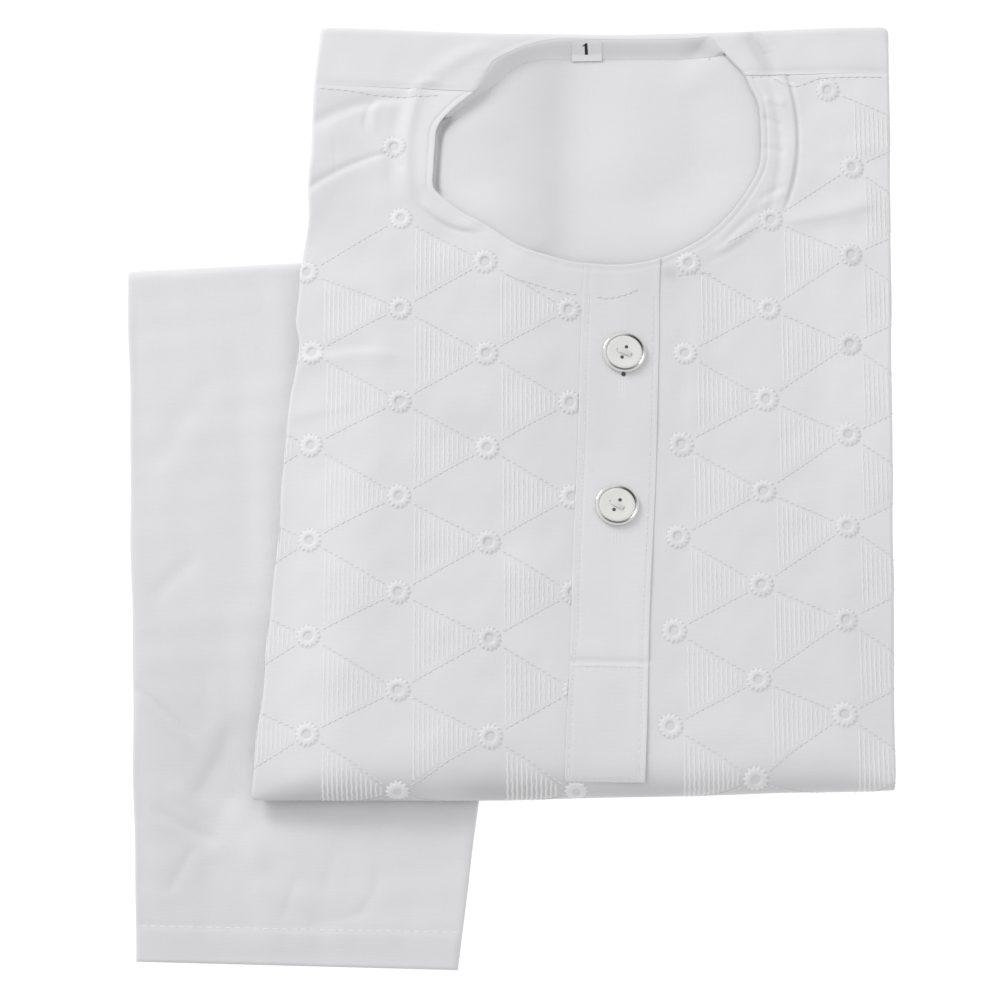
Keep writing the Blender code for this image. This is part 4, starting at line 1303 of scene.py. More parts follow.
    def facing_height(self, angles: Array, share: Array | float) -> Array:
        """The height of the facing's upper face, from the neck's edge at 0 to its own edge at 1.

        Args:
            angles: directions from the neck's middle.
            share: the share of its width.

        Returns:
            The heights above the floor.
        """
        packet = self.packet
        edge, inner = packet.neck_radius(angles), packet.facing_edge.reach(angles)
        shown = rise(edge - inner, -0.4, 0.8)
        nose, end = packet.neck_point(angles), packet.neck_point(angles, inner - edge)
        top = packet.place(*nose.T)[:, 2]
        rest = self.panel_top(*end.T) + 0.08
        back = rise(np.sin(angles), 0.05, 0.25)
        last = rest * back + (top - 1.3) * (1.0 - back)
        under = packet.place(*packet.neck_point(angles, np.maximum(inner - edge, 0.0) * share).T)[:, 2]
        fall = 0.35 * share + 0.65 * smoothstep(share)
        return shown * (top - 0.14 + (last - top + 0.14) * fall) + (1.0 - shown) * (under - 1.0)

    def facing(self) -> Piece:
        """The facing, turned in at the neck: it rests on the back and hangs at the left."""
        angles = np.linspace(0.0, 2 * math.pi, 540, endpoint=False)
        wide = self.packet.facing_edge.reach(angles) - self.packet.neck_radius(angles)
        rows, cloth = [], []
        profile = ((-0.03, 0.08), *((s, 0.0) for s in np.linspace(0.01, 0.98, 14)), (1.0, 0.12), (1.0, 0.3))
        for share, drop in profile + tuple((s, 0.42) for s in (0.95, 0.75, 0.5, 0.25, 0.02)):
            z = self.facing_height(angles, share) - drop
            rows.append(np.column_stack([self.packet.neck_point(angles, wide * share), z]))
            cloth.append(self.packet.neck_point(angles, 11.0 * share))
        finish, tone = self.finishes["inside"], shaded(rows, FACING_SHADES)
        made = self.shop.sheet("neck_facing_cloth", rows, finish, cloth, tone, closed=True)
        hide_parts("neck_facing")
        return made


@dataclass
class HiddenLayers(Piecework):
    """What is folded under the front: leaves that show at the edges, and the two sleeves."""

    columns: int = 460
    # Leaves: underside and top in the stack, inset at the sides, inset inside the lower fold
    leaves: tuple[tuple[float, float, float, float], ...] = (
        (0.05, 1.55, 0.5, 3.0),
        (1.7, 2.7, 0.9, 2.6),
        (2.8, 3.5, 0.4, 2.4),
        (5.3, 6.1, 1.0, 2.4),
        (6.2, 7.0, 0.5, 2.6),
    )
    sleeve: Pair = (3.65, 5.15)
    sleeve_y: Pair = (-48.0, 138.0)
    sleeve_depth: float = 43.0

    def leaf_edge(self, lengths: Array, low: float, top: float, inset: Array, deep: float) -> list[Array]:
        """A folded edge of cloth along the outline: its top, its round nose and its underside.

        Args:
            lengths: along the outline.
            low: the underside's height in the stack.
            top: the top's height.
            inset: how far in its nose lies.
            deep: how far it reaches in.

        Returns:
            Its rows of points.
        """
        edge, inward = self.packet.outline.at(lengths), self.packet.outline.inward(lengths, 4.0)
        middle, half = (low + top) / 2, (top - low) / 2
        rows = []
        turns = np.radians((0.0, 25.0, 50.0, 75.0, 90.0, 105.0, 130.0, 155.0, 180.0))
        profile = [(deep, 1.0), (deep * 0.4, 1.0)]
        profile += [(1.4 * half * (1.0 - math.sin(t)), math.cos(t)) for t in turns]
        profile += [(deep * 0.4, -1.0), (deep, -1.0)]
        for reach, share in profile:
            plan = edge + inward * (inset + reach)[:, None]
            z = self.packet.level(plan[:, 0], plan[:, 1], middle + half * share)
            rows.append(np.column_stack([plan, z]))
        return rows

    def folds(self) -> Piece:
        """The leaves of the lower half, side panels and hem, with the flat underside."""
        outline = self.packet.outline
        lengths = np.linspace(0.0, outline.total, self.columns, endpoint=False)
        left, right = outline.corner_at["fold_left"], outline.corner_at["fold_right"]
        from_fold = np.maximum(np.maximum(left - lengths, lengths - right), 0.0)
        fold = 1.0 - rise(from_fold, 14.0, 34.0)
        gathered = Gathered()
        for i, (low, top, side, lower) in enumerate(self.leaves):
            sway = 0.5 * drift(lengths, 0.0, 21 + i, 60.0) + 0.2 * drift(lengths, 0.0, 41 + i, 17.0)
            inset = side + (lower - side) * fold + np.abs(sway) * (1.0 - 0.5 * fold)
            rows = np.array(self.leaf_edge(lengths, low, top, inset, 16.0))
            gathered.add(rows[:, ::-1], grid_faces(*rows.shape[:2], closed=True))
        gathered.add(*self.underside(lengths))
        made = gathered.build(self.shop, "kameez_folds_cloth", self.finishes["inside"])
        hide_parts("kameez_folds")
        return made

    def underside(self, lengths: Array) -> tuple[Array, Array]:
        """The flat underside, as rings from near its middle to under the lowest leaf.

        Args:
            lengths: along the outline.

        Returns:
            Its points and its faces.
        """
        edge, inward = self.packet.outline.at(lengths), self.packet.outline.inward(lengths, 4.0)
        last = edge + inward * 12.0
        middle = last.mean(axis=0)
        rows = []
        for share in (0.002, 0.2, 0.4, 0.6, 0.75, 0.88, 1.0):
            plan = middle + (last - middle) * share
            rows.append(np.column_stack([plan, self.packet.level(plan[:, 0], plan[:, 1], 0.06)]))
        grid = np.array(rows)
        return grid[:, ::-1], grid_faces(*grid.shape[:2], closed=True)[:, ::-1]

    def sleeve_piece(self, name: str, start: str, end: str) -> Piece:
        """One sleeve, folded in behind the back.

        Args:
            name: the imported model's node that it stands for.
            start: the outline's corner at one end of that side.
            end: the corner at the other.

        Returns:
            The object.
        """
        outline = self.packet.outline
        ends = sorted(outline.side_at_y(y, start, end) for y in self.sleeve_y)
        lengths = np.linspace(ends[0], ends[1], 120)
        ease = 0.4 * np.abs(drift(lengths, 0.0, len(name), 40.0))
        rows = np.array(self.leaf_edge(lengths, *self.sleeve, 0.7 + ease, self.sleeve_depth))
        made = self.shop.sheet(f"{name}_cloth", rows, self.finishes["voile"], rows[..., :2])
        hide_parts(name)
        return made


@dataclass
class Placket(Piecework):
    """The buttoned strip down the front, with its stitched box, buttonhole bars and buttons."""

    top: Triple = (28.2, 55.0, 79.0)  # left edge, right edge and y of its upper end
    foot: Triple = (21.0, 47.0, -93.5)
    box_y: float = -55.2
    thick: float = 0.36
    lift: float = 0.08
    margin: float = 2.2  # from its edges to its side seams
    box_margin: float = 1.3  # the same inside the box, at the left and below

    def across(self, y: Array) -> tuple[Array, Array]:
        """Its left and right edge at a y."""
        t = (self.top[2] - y) / (self.top[2] - self.foot[2])
        left = self.top[0] + (self.foot[0] - self.top[0]) * t + 0.15 * np.sin(y / 11.0)
        right = self.top[1] + (self.foot[1] - self.top[1]) * t + 0.2 * np.sin(y / 14.0 + 1.0)
        return left, right - 0.9 * rise(y, 50.0, 80.0)

    def seams(self, y: Array) -> tuple[Array, Array]:
        """The x of its two side seams."""
        left, right = self.across(y)
        wider = (self.margin - self.box_margin) * rise(y, -60.0, -44.0)
        return left + self.box_margin + wider, right - self.margin

    def neck_y(self, share: Array) -> Array:
        """Where it meets the neck's edge, at these shares across.

        Args:
            share: across, 0 at the left.

        Returns:
            The y of those places.
        """
        y = np.full(np.shape(share), self.top[2])
        for _ in range(12):
            left, right = self.across(y)
            y = y + self.packet.outside_neck(left + (right - left) * share, y) - 0.15
        return y

    def face(self, share: Array, y: Array, height: Array | float = 1.0) -> Array:
        """Points of its face.

        Args:
            share: across, 0 at its left edge and 1 at its right.
            y: along it.
            height: 1 on its face, 0 on its underside.

        Returns:
            The points.
        """
        left, right = self.across(y)
        x = left + (right - left) * share
        base = self.packet.place(x, y)
        loose = 0.5 * rise(share, 0.3, 1.0) * rise(-y, 58.0, 92.0)
        seam = -0.35 * np.exp(-(((y - self.box_y) / 0.9) ** 2))
        seam = seam + 0.2 * np.exp(-(((y - self.box_y - 4.0) / 3.0) ** 2))
        seam_left, seam_right = self.seams(y)
        stitched = -0.13 * np.exp(-(((x - seam_left) / 0.7) ** 2))
        stitched = stitched - 0.13 * np.exp(-(((seam_right - x) / 0.7) ** 2)) * rise(-y, 10.0, 60.0)
        soft = 0.10 * drift(x, y, 17, 18.0)
        base[..., 2] += self.lift + loose + height * (self.thick + seam + stitched + soft)
        return base

    def strip(self) -> Piece:
        """The strip itself, with rounded folded edges."""
        inner = np.linspace(0.02, 0.98, 44)
        shares = np.concatenate([[0.008, 0.0, 0.0, 0.001, 0.006], inner, [0.994, 0.999, 1.0, 1.0, 0.992]])
        heights = np.concatenate([[0.0, 0.15, 0.5, 0.85, 0.97], np.ones(44), [0.97, 0.85, 0.5, 0.15, 0.0]])
        top = self.neck_y(shares)
        steps = [(0.0, 0.0), (0.0, 0.4), (0.0006, 0.75), (0.002, 0.95)]
        steps += [(t, 1.0) for t in np.linspace(0.005, 0.994, 236)] + [(0.9975, 0.8), (1.0, 0.35), (1.0, 0.0)]
        down = self.foot[2] - top
        rows = np.array([self.face(shares, top + down * t, heights * size) for t, size in steps])
        finish, tone = self.finishes["voile"], shaded(rows, PLACKET_SHADES)
        made = self.shop.sheet("placket_cloth", rows, finish, rows[..., :2], tone, flipped=True)
        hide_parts("placket")
        return made

    def on_face(self, u: Array, v: Array) -> Array:
        """The face as a surface of cloth coordinates."""
        left, right = self.across(np.asarray(v, float))
        return self.face((u - left) / (right - left), np.asarray(v, float))


@dataclass
class Button:
    """A pearly four-hole button in a bright rim, sewn on."""

    shop: Workshop
    finishes: Finishes
    node: str
    turn: float
    placket: Placket
    rim_radius: float = 6.78
    rim_half: float = 0.58
    squash: float = 0.94
    face_radius: float = 6.2
    hole_radius: float = 0.62
    hole_reach: float = 2.05

    def basis(self) -> tuple[Array, Array]:
        """The middle of its underside, on the placket, and its unit normal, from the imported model."""
        low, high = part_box(self.node)
        middle = np.array((low + high) / 2) / METRE - self.shop.shift
        base, _, _, normal = framed(self.placket.on_face, middle[:1], middle[1:2], 3.0)
        return base[0] - 0.15 * normal[0], normal[0]

    def turned(self, middle: Array, profile: Sequence[tuple], count: int) -> tuple[Array, Array]:
        """Turns a profile round a place of the button.

        Args:
            middle: the place, at the height of the button's underside.
            profile: rows of radius and height.
            count: of points in a round.

        Returns:
            The rows of points and their faces.
        """
        _, normal, side, ahead = self.axes
        turns = np.linspace(0.0, 2 * math.pi, count, endpoint=False)
        round_way = np.cos(turns)[:, None] * side + np.sin(turns)[:, None] * ahead
        rows = np.array([middle + radius * round_way + high * normal for radius, high in profile])
        return rows, grid_faces(len(profile), count, closed=True)

    def build(self) -> list[Piece]:
        """The rim, the face with its holes, and the thread."""
        base, normal = self.basis()
        side = unit(np.cross((0.0, 1.0, 0.0), normal))
        ahead = np.cross(normal, side) * self.squash
        self.axes = base, normal, side, ahead
        rim = [(5.0, 0.0), (6.5, 0.15)]
        for t in np.linspace(-0.6 * math.pi, 1.1 * math.pi, 18):
            radius = self.rim_radius + self.rim_half * math.cos(t)
            rim.append((radius, 1.0 + (0.55 + 0.05 * math.sin(t)) * math.sin(t)))
        turns = np.linspace(0.0, 360.0, 72, endpoint=False)
        # painted reflection: the polished ring's colour is painted dark at two places, where it would mirror
        # the dark of the room, and a little lighter at a third
        painted_reflection = sum(
            deep * np.exp(-((((turns - at + 180.0) % 360.0 - 180.0) / wide) ** 4))
            for at, wide, deep in ((44.0, 40.0, -0.93), (262.0, 46.0, -0.85), (185.0, 40.0, 0.08))
        )
        inside = rise(np.arange(len(rim)), len(rim) - 9.0, len(rim) - 5.0)
        points, faces = self.turned(base, rim, len(turns))
        # the painted reflection lies on the rim's inner rows only
        tone = inside[:, None] * painted_reflection[None]
        ring = self.shop.piece(f"{self.node}_rim", points, faces, self.finishes["silver"], tone=tone)
        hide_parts(self.node)
        face = [(self.face_radius, 0.7), (self.face_radius, 1.0), (5.9, 1.2), (5.2, 1.22), (4.2, 1.08)]
        face += [(3.4, 1.0), (2.4, 0.97), (1.2, 0.96), (0.02, 0.96)]
        points, faces = self.turned(base, face, 64)
        disc = self.shop.piece(f"{self.node}_face", points, faces, self.finishes["pearl"])
        holes, lips, threads = Gathered(), Gathered(), Gathered()
        hole = self.hole_radius
        centres = [math.radians(self.turn + 90.0 * k) for k in range(4)]
        # each hole holds a dark disc of painted shade
        well = [(0.01, 0.98), (hole, 0.985)]
        lip = [(hole + 0.02, 0.95), (hole + 0.1, 1.03), (hole + 0.32, 0.95)]
        for angle in centres:
            middle = base + self.hole_reach * (math.cos(angle) * side + math.sin(angle) * ahead)
            for gathered, profile in ((holes, well), (lips, lip)):
                rows, faces = self.turned(middle, profile, 18)
                gathered.add(rows[::-1], faces)
        way = (self.hole_reach + 0.45) * (math.cos(centres[1]) * side + math.sin(centres[1]) * ahead)
        start, end = base - way, base + way
        across = unit(np.cross(normal, end - start))
        t = np.linspace(0.0, 1.0, 9)[:, None]
        for offset in (-0.55, -0.2, 0.2, 0.55):
            line = start + (end - start) * t + across * offset + normal * (1.0 + 0.45 * np.sin(t * math.pi))
            turns = np.radians(np.arange(0.0, 360.0, 60.0))
            rows = [line + 0.24 * (math.cos(a) * across + math.sin(a) * normal) for a in turns]
            threads.add(np.stack(rows, axis=1), grid_faces(9, 6, closed=True)[:, ::-1])
        made = [ring, disc]
        for gathered, name, finish, slot in (
            (holes, "holes", self.finishes["hole_shade"], "button"),
            (lips, "lips", self.finishes["pearl"], "button"),
            (threads, "thread", self.finishes["loops"], "embroidery"),
        ):
            piece = gathered.build(self.shop, f"{self.node}_{name}", finish)
            made.append(piece)
        return made


@dataclass
class SizeLabel(Piecework):
    """The small folded label in the back of the neck, with a plain numeral."""

    body: KameezBody
    width: float = 10.4
    top_y: float = 162.6
    bend_y: float = 158.9  # below this it stands off the facing
    fold_y: float = 156.9
    numeral_high: float = 3.1

    def surface(self, across: Array, y: Array) -> Array:
        """Its face: across from -1 to 1.

        Args:
            across: from -1 to 1.
            y: along it.

        Returns:
            The points.
        """
        low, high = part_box("size_label")
        x = (low + high).x / 2 / METRE - self.shop.shift[0] + across * self.width / 2
        held = np.maximum(y, self.bend_y)
        angle = np.arctan2(held - self.packet.neck[1], x - self.packet.neck[0])
        edge, inner = self.packet.neck_radius(angle), self.packet.facing_edge.reach(angle)
        away = np.hypot(x - self.packet.neck[0], held - self.packet.neck[1])
        share = np.clip((edge - away) / (edge - inner), 0.0, 1.0)
        z = self.body.facing_height(angle, share) + 0.2 - 0.36 * (held - y) + 0.05 * across**2
        return np.stack([x, y, z], axis=-1)

    def build(self) -> list[Piece]:
        """The tape and its numeral."""
        across = np.linspace(-1.0, 1.0, 25)
        ys = np.linspace(self.top_y, self.fold_y, 24)
        rows = [self.surface(across, np.full(25, y)) for y in ys]
        for turn in np.radians((30.0, 60.0, 90.0, 120.0, 150.0, 180.0)):
            nose = rows[23].copy()
            nose[:, 1] -= 0.16 * math.sin(turn)
            nose[:, 2] -= 0.16 * (1.0 - math.cos(turn))
            rows.append(nose)
        for y in ys[::-2]:
            under = self.surface(across, np.full(25, y))
            under[:, 2] -= 0.32 - 0.22 * float(rise(y, self.bend_y - 0.6, self.bend_y + 0.4))
            rows.append(under)
        rows = np.array(rows)
        tape = self.shop.sheet("size_label_tape", rows, self.finishes["tape"], rows[..., :2])
        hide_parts("size_label")
        high = self.numeral_high
        corners = [(-0.52, 0.0), (0.52, 0.0), (0.52, high), (-0.15, high)]
        x, y = np.array(corners + [(-1.5, high * 0.72), (-0.52, high * 0.76)]).T
        points = self.surface((x - 0.1 - 0.08 * y) / (self.width / 2), 158.8 + y)
        points[:, 2] += 0.06
        faces = [(0, 1, 2, 5), (5, 2, 3, 4)]
        numeral = self.shop.piece("size_numeral", points, faces, self.finishes["ink"], points[:, :2])
        return [tape, numeral]


# Embroidery


@dataclass(frozen=True)
class RingColumn:
    """A column of embroidered rings: its x at y = 0, its lean, its first ring and how many there are."""

    x: float
    lean: float
    first_y: float
    pitch: float
    rings: int
    extra: tuple[Pair, ...] = ()

    def places(self) -> list[Pair]:
        """The ring places, from the top down."""
        ys = [self.first_y - self.pitch * i for i in range(self.rings)]
        rows = [(self.x + self.lean * y, y) for y in ys]
        return sorted(list(self.extra) + rows, key=lambda place: -place[1])


LEFT_COLUMNS = rows_of(
    RingColumn,
    (-92.0, 0.0, 64.4, 32.3, 6),
    (-62.9, -0.004, 50.0, 32.4, 6, ((-65.5, 78.5),)),
    (-33.3, -0.002, 96.2, 32.3, 7, ((-36.2, 123.2),)),
    (-4.0, -0.012, 80.4, 32.2, 7),
    (23.7, -0.01, 64.1, 32.2, 6),
)
RIGHT_COLUMNS = rows_of(
    RingColumn,
    (59.7, 0.052, 81.8, 31.6, 7),
    (87.7, 0.048, 97.6, 31.7, 7),
    (115.7, 0.042, 116.6, 31.5, 8, ((113.0, 144.5),)),
    (143.0, 0.045, 130.0, 31.4, 8),
)


@dataclass
class Embroidery(Piecework):
    """A lattice of looped rings, joined by running stitch, with satin ribs in every other triangle."""

    ring_inner: float = 1.45
    ring_outer: float = 3.45
    loops: int = 14
    rib_pitch: float = 1.56
    rib_width: float = 0.76
    rib_start: float = 5.3  # from the middles of the first two rings
    rib_end: float = 5.2  # to the middle of the third
    rib_clear: float = 1.1  # from the running lines
    shortest_rib: float = 1.6
    ring_clear: float = 4.9  # from a ring's middle to its running stitches
    neck_clear: float = 8.5
    uneven: float = 5.5  # how far a ring may be off its row

    def kept(self, places: Array, clear: float) -> Array:
        """Which cloth coordinates lie on the front, this far from the neck's edge and off the placket.

        Args:
            places: cloth coordinates.
            clear: the distance to keep from the neck's edge.

        Returns:
            True where they are kept.
        """
        u, v = places[..., 0], places[..., 1]
        off_neck = self.packet.outside_neck(u, v) > clear
        seam = v < 146.0 + 0.03 * (u - 60.0)
        middle = 34.0 + v * 0.043
        strip = (u > middle - 6.0) & (u < middle + 10.0) & (v > -90.0)
        return off_neck & seam & ~strip & ~self.packet.rolled_away(u, v)

    def under_placket(self, u: Array, v: Array) -> Array:
        """1 where the placket's left side lies on the embroidery, and 0 beside it."""
        edge = 24.9 + 0.0417 * v
        return rise(u, edge - 0.2, edge + 0.3) * rise(v, -93.9, -93.3) * (u < 40.0)

    def neighbours(self, columns: Sequence[RingColumn]) -> list[tuple[Array, Array]]:
        """Each ring with each ring of the next column that lies about half a row away.

        Args:
            columns: of rings, side by side.

        Returns:
            The pairs of rings' middles.
        """
        pairs = []
        for first, second in zip(columns, columns[1:]):
            for here in first.places():
                for there in second.places():
                    if abs(abs(here[1] - there[1]) - 0.5 * first.pitch) < self.uneven:
                        pairs.append((np.array(here), np.array(there)))
        return pairs

    def running(self, holes: Gathered) -> Thread:
        """The running stitches from ring to ring, with their needle holes added to those given.

        Args:
            holes: what gathers the needle holes.

        Returns:
            The thread with its stitches.
        """
        thread = Thread(self.packet.place, holes=holes)
        for here, there in self.neighbours(LEFT_COLUMNS) + self.neighbours(RIGHT_COLUMNS):
            way = unit(there - here)
            path = np.linspace(here + way * self.ring_clear, there - way * self.ring_clear, 40)
            keep = self.kept(path, self.neck_clear - 2.0)
            runs = np.split(np.arange(40), np.where(np.diff(keep.astype(int)) != 0)[0] + 1)
            for run in runs:
                if keep[run[0]] and len(run) > 5:
                    thread.stitches(path[run], 1.5, 0.5, 0.42, 0.14)
        return thread

    def ribs(self) -> Thread:
        """The satin ribs of the filled triangles, each between two running lines."""
        thread = Thread(self.packet.place)
        rows = []
        for columns in (LEFT_COLUMNS, RIGHT_COLUMNS):
            for base, apex in zip(columns, columns[1:]):
                places = base.places()
                for upper, lower in zip(places, places[1:]):
                    middle = (upper[1] + lower[1]) / 2
                    tips = [p for p in apex.places() if abs(p[1] - middle) < self.uneven + 0.5]
                    if tips:
                        rows += self.fill(np.array(upper), np.array(lower), np.array(tips[0]))
        thread.satin(rows, self.rib_width, 0.22)
        return thread

    def fill(self, upper: Array, lower: Array, tip: Array) -> list[Triple]:
        """The ribs of one triangle, as rows of u, lowest v and highest v.

        Args:
            upper: the middle of the upper ring at its base.
            lower: that of the lower one.
            tip: that of the ring at its tip.

        Returns:
            The rows.
        """
        rows = []
        base_x = (upper[0] + lower[0]) / 2
        count = int((tip[0] - self.rib_end - base_x - self.rib_start) / self.rib_pitch) + 1
        for i in range(count):
            u = base_x + self.rib_start + i * self.rib_pitch
            high = upper[1] + (tip[1] - upper[1]) * (u - upper[0]) / (tip[0] - upper[0]) - self.rib_clear
            low = lower[1] + (tip[1] - lower[1]) * (u - lower[0]) / (tip[0] - lower[0]) + self.rib_clear
            v = np.linspace(low, high, 30)
            keep = self.kept(np.stack([np.full(30, u), v], axis=-1), self.neck_clear)
            if keep.any() and high - low > self.shortest_rib:
                v = v[keep]
                rows.append((u, float(v.min()), float(v.max())))
        return rows

    def rings(self, gaps: Gathered) -> tuple[Gathered, Gathered]:
        """The looped rings and the discs of painted shade in their open centres, with the painted shade of the
        gaps between loops added to those given.

        Args:
            gaps: what gathers the painted shade of the gaps.

        Returns:
            The rings and their centres.
        """
        ring, centres = Gathered(), Gathered()
        thread = Thread(self.packet.place, holes=gaps)
        places = [p for column in LEFT_COLUMNS + RIGHT_COLUMNS for p in column.places()]
        places = [p for p in places if self.kept(np.array(p), 2.0)]
        rng = np.random.default_rng(8)
        for u0, v0 in places:
            size, turn = rng.uniform(0.96, 1.05), rng.uniform(0.0, 1.0)
            squash = rng.uniform(-0.04, 0.04)
            turns = np.linspace(0.0, 2 * math.pi, 84, endpoint=False)
            loop = np.cos(self.loops * turns + turn)
            profile = (
                (self.ring_inner - 0.15, -0.05, 0.0),
                (self.ring_inner, 0.22, 0.0),
                (1.95, 0.42, 0.0),
                (2.6, 0.44, 0.02),
                (self.ring_outer - 0.3, 0.3, 0.06),
                (self.ring_outer + 0.15, 0.2, 0.3),
                (self.ring_outer + 0.4, -0.05, 0.38),
            )
            radial = 0.05 * np.cos(3 * self.loops * turns + turn * 5)
            rows, cloth = [], []
            for radius, high, wavy in profile:
                reach = size * (radius + wavy * loop)
                u = u0 + reach * np.cos(turns) * (1 + squash)
                v = v0 + reach * np.sin(turns) * (1 - squash)
                here, _, _, normal = framed(self.packet.place, u, v)
                lift = high + radial + (0.07 * loop if wavy > 0.1 else 0.0)
                lift = lift - (lift + 0.3) * self.under_placket(u, v)
                rows.append(here + normal * np.broadcast_to(lift, turns.shape)[:, None])
                cloth.append(np.stack([u, v], axis=-1))
            grid = np.array(rows)[::-1]
            ring.add(grid, grid_faces(*grid.shape[:2], closed=True), np.array(cloth)[::-1])
            rim = turns[::6]
            u, v = u0 + self.ring_inner * np.cos(rim), v0 + self.ring_inner * np.sin(rim)
            here, _, _, normal = framed(self.packet.place, u, v)
            # a disc of painted shade in the open centre
            centres.add(here + 0.10 * normal, np.arange(len(rim))[None], np.stack([u, v], axis=-1))
            between = (np.arange(self.loops) * 2 * math.pi + math.pi - turn) / self.loops
            reach = size * (self.ring_outer + 0.5)
            thread.needle_holes(u0 + reach * np.cos(between), v0 + reach * np.sin(between), 0.21)
        return ring, centres

    def build(self) -> list[Piece]:
        """All the embroidery of the front."""
        gaps = Gathered()
        ring, centres = self.rings(gaps)
        running, ribs = self.running(gaps), self.ribs()
        made = [
            running.gathered.build(self.shop, "running_stitches", self.finishes["satin"]),
            ribs.gathered.build(self.shop, "satin_ribs", self.finishes["satin"]),
            ring.build(self.shop, "looped_rings", self.finishes["loops"]),
            centres.build(self.shop, "ring_centres", self.finishes["centre_shade"]),
            gaps.build(self.shop, "needle_holes", self.finishes["shade"]),
        ]
        return made


@dataclass
class Stitching(Piecework):
    """The seams and rows of stitches that are not embroidery."""

    facing: float = 11.3  # from the neck's edge to the row of stitches that holds the facing

    def build(self, placket: Placket, shalwar: "Shalwar") -> list[Piece]:
        """All the rows of stitches.

        Args:
            placket: the placket with its seams.
            shalwar: the trousers with their hem.

        Returns:
            The pieces: seams, placket and hem, each with its needle holes, then the buttonhole's end.
        """
        body = Thread(self.packet.place)
        angles = np.radians(np.linspace(235.0, 263.0, 50))
        body.stitches(self.packet.neck_point(angles, self.facing), 1.9, 0.8, 0.4, 0.2)
        for row in (
            ((59.6, 77.4), (65.0, 78.2), (71.9, 78.4)),
            ((-62.6, 145.4), (-53.4, 144.6), (-44.1, 143.0), (-31.0, 141.8), (-21.0, 142.6)),
            ((86.0, 149.0), (93.2, 149.6), (97.6, 146.6), (102.7, 146.0), (110.0, 149.0), (132.4, 150.0)),
        ):
            body.stitches(np.array(row), 1.8, 0.8, 0.4, 0.18)
        strip = Thread(placket.on_face)
        low, faint = placket.foot[2] + placket.box_margin, (2.2, 0.6, 0.36, 0.08)
        ys = np.linspace(low, placket.top[2] - 8.0, 140)
        for x in placket.seams(ys):
            strip.stitches(np.column_stack([x, ys]), *faint)
        for y in (placket.box_y - 1.6, low):
            ends = [float(x) for x in placket.seams(np.array(y))]
            strip.stitches(np.column_stack([np.linspace(*ends, 30), np.full(30, y)]), *faint)
        held = ((32.4, 69.0), (36.0, 68.4), (40.0, 69.2), (43.4, 70.4), (46.8, 72.2))
        strip.stitches(np.array(held), 1.6, 0.7, 0.4, 0.2)
        holes = ((41.1, 42.0, 34.4), (38.4, -8.8, -15.6))  # x, upper and lower end of each buttonhole
        bars = [(x + k, low, top) for x, top, low in holes for k in (-1.0, 0.0, 1.0)]
        strip.satin(bars, 0.7, 0.1)
        hem = Thread(shalwar.on_top)
        along_hem = np.column_stack([np.linspace(0.01, 0.99, 200), np.full(200, shalwar.hem_depth)])
        hem.stitches(along_hem * (100.0, 1.0), 2.0, 0.9, 0.42, 0.08)
        end, made = Thread(placket.on_face), []
        # a black disc of painted shade at the buttonhole's end, below the upper button
        end.needle_holes(np.array([41.4]), np.array([42.2]), 0.85)
        for thread, name in ((body, "seam"), (strip, "placket"), (hem, "hem")):
            made.append(thread.gathered.build(self.shop, f"{name}_stitches", self.finishes["satin"]))
            made.append(thread.holes.build(self.shop, f"{name}_needle_holes", self.finishes["shade"]))
        made.append(end.holes.build(self.shop, "buttonhole_end", self.finishes["hole_shade"]))
        return made


# The shalwar


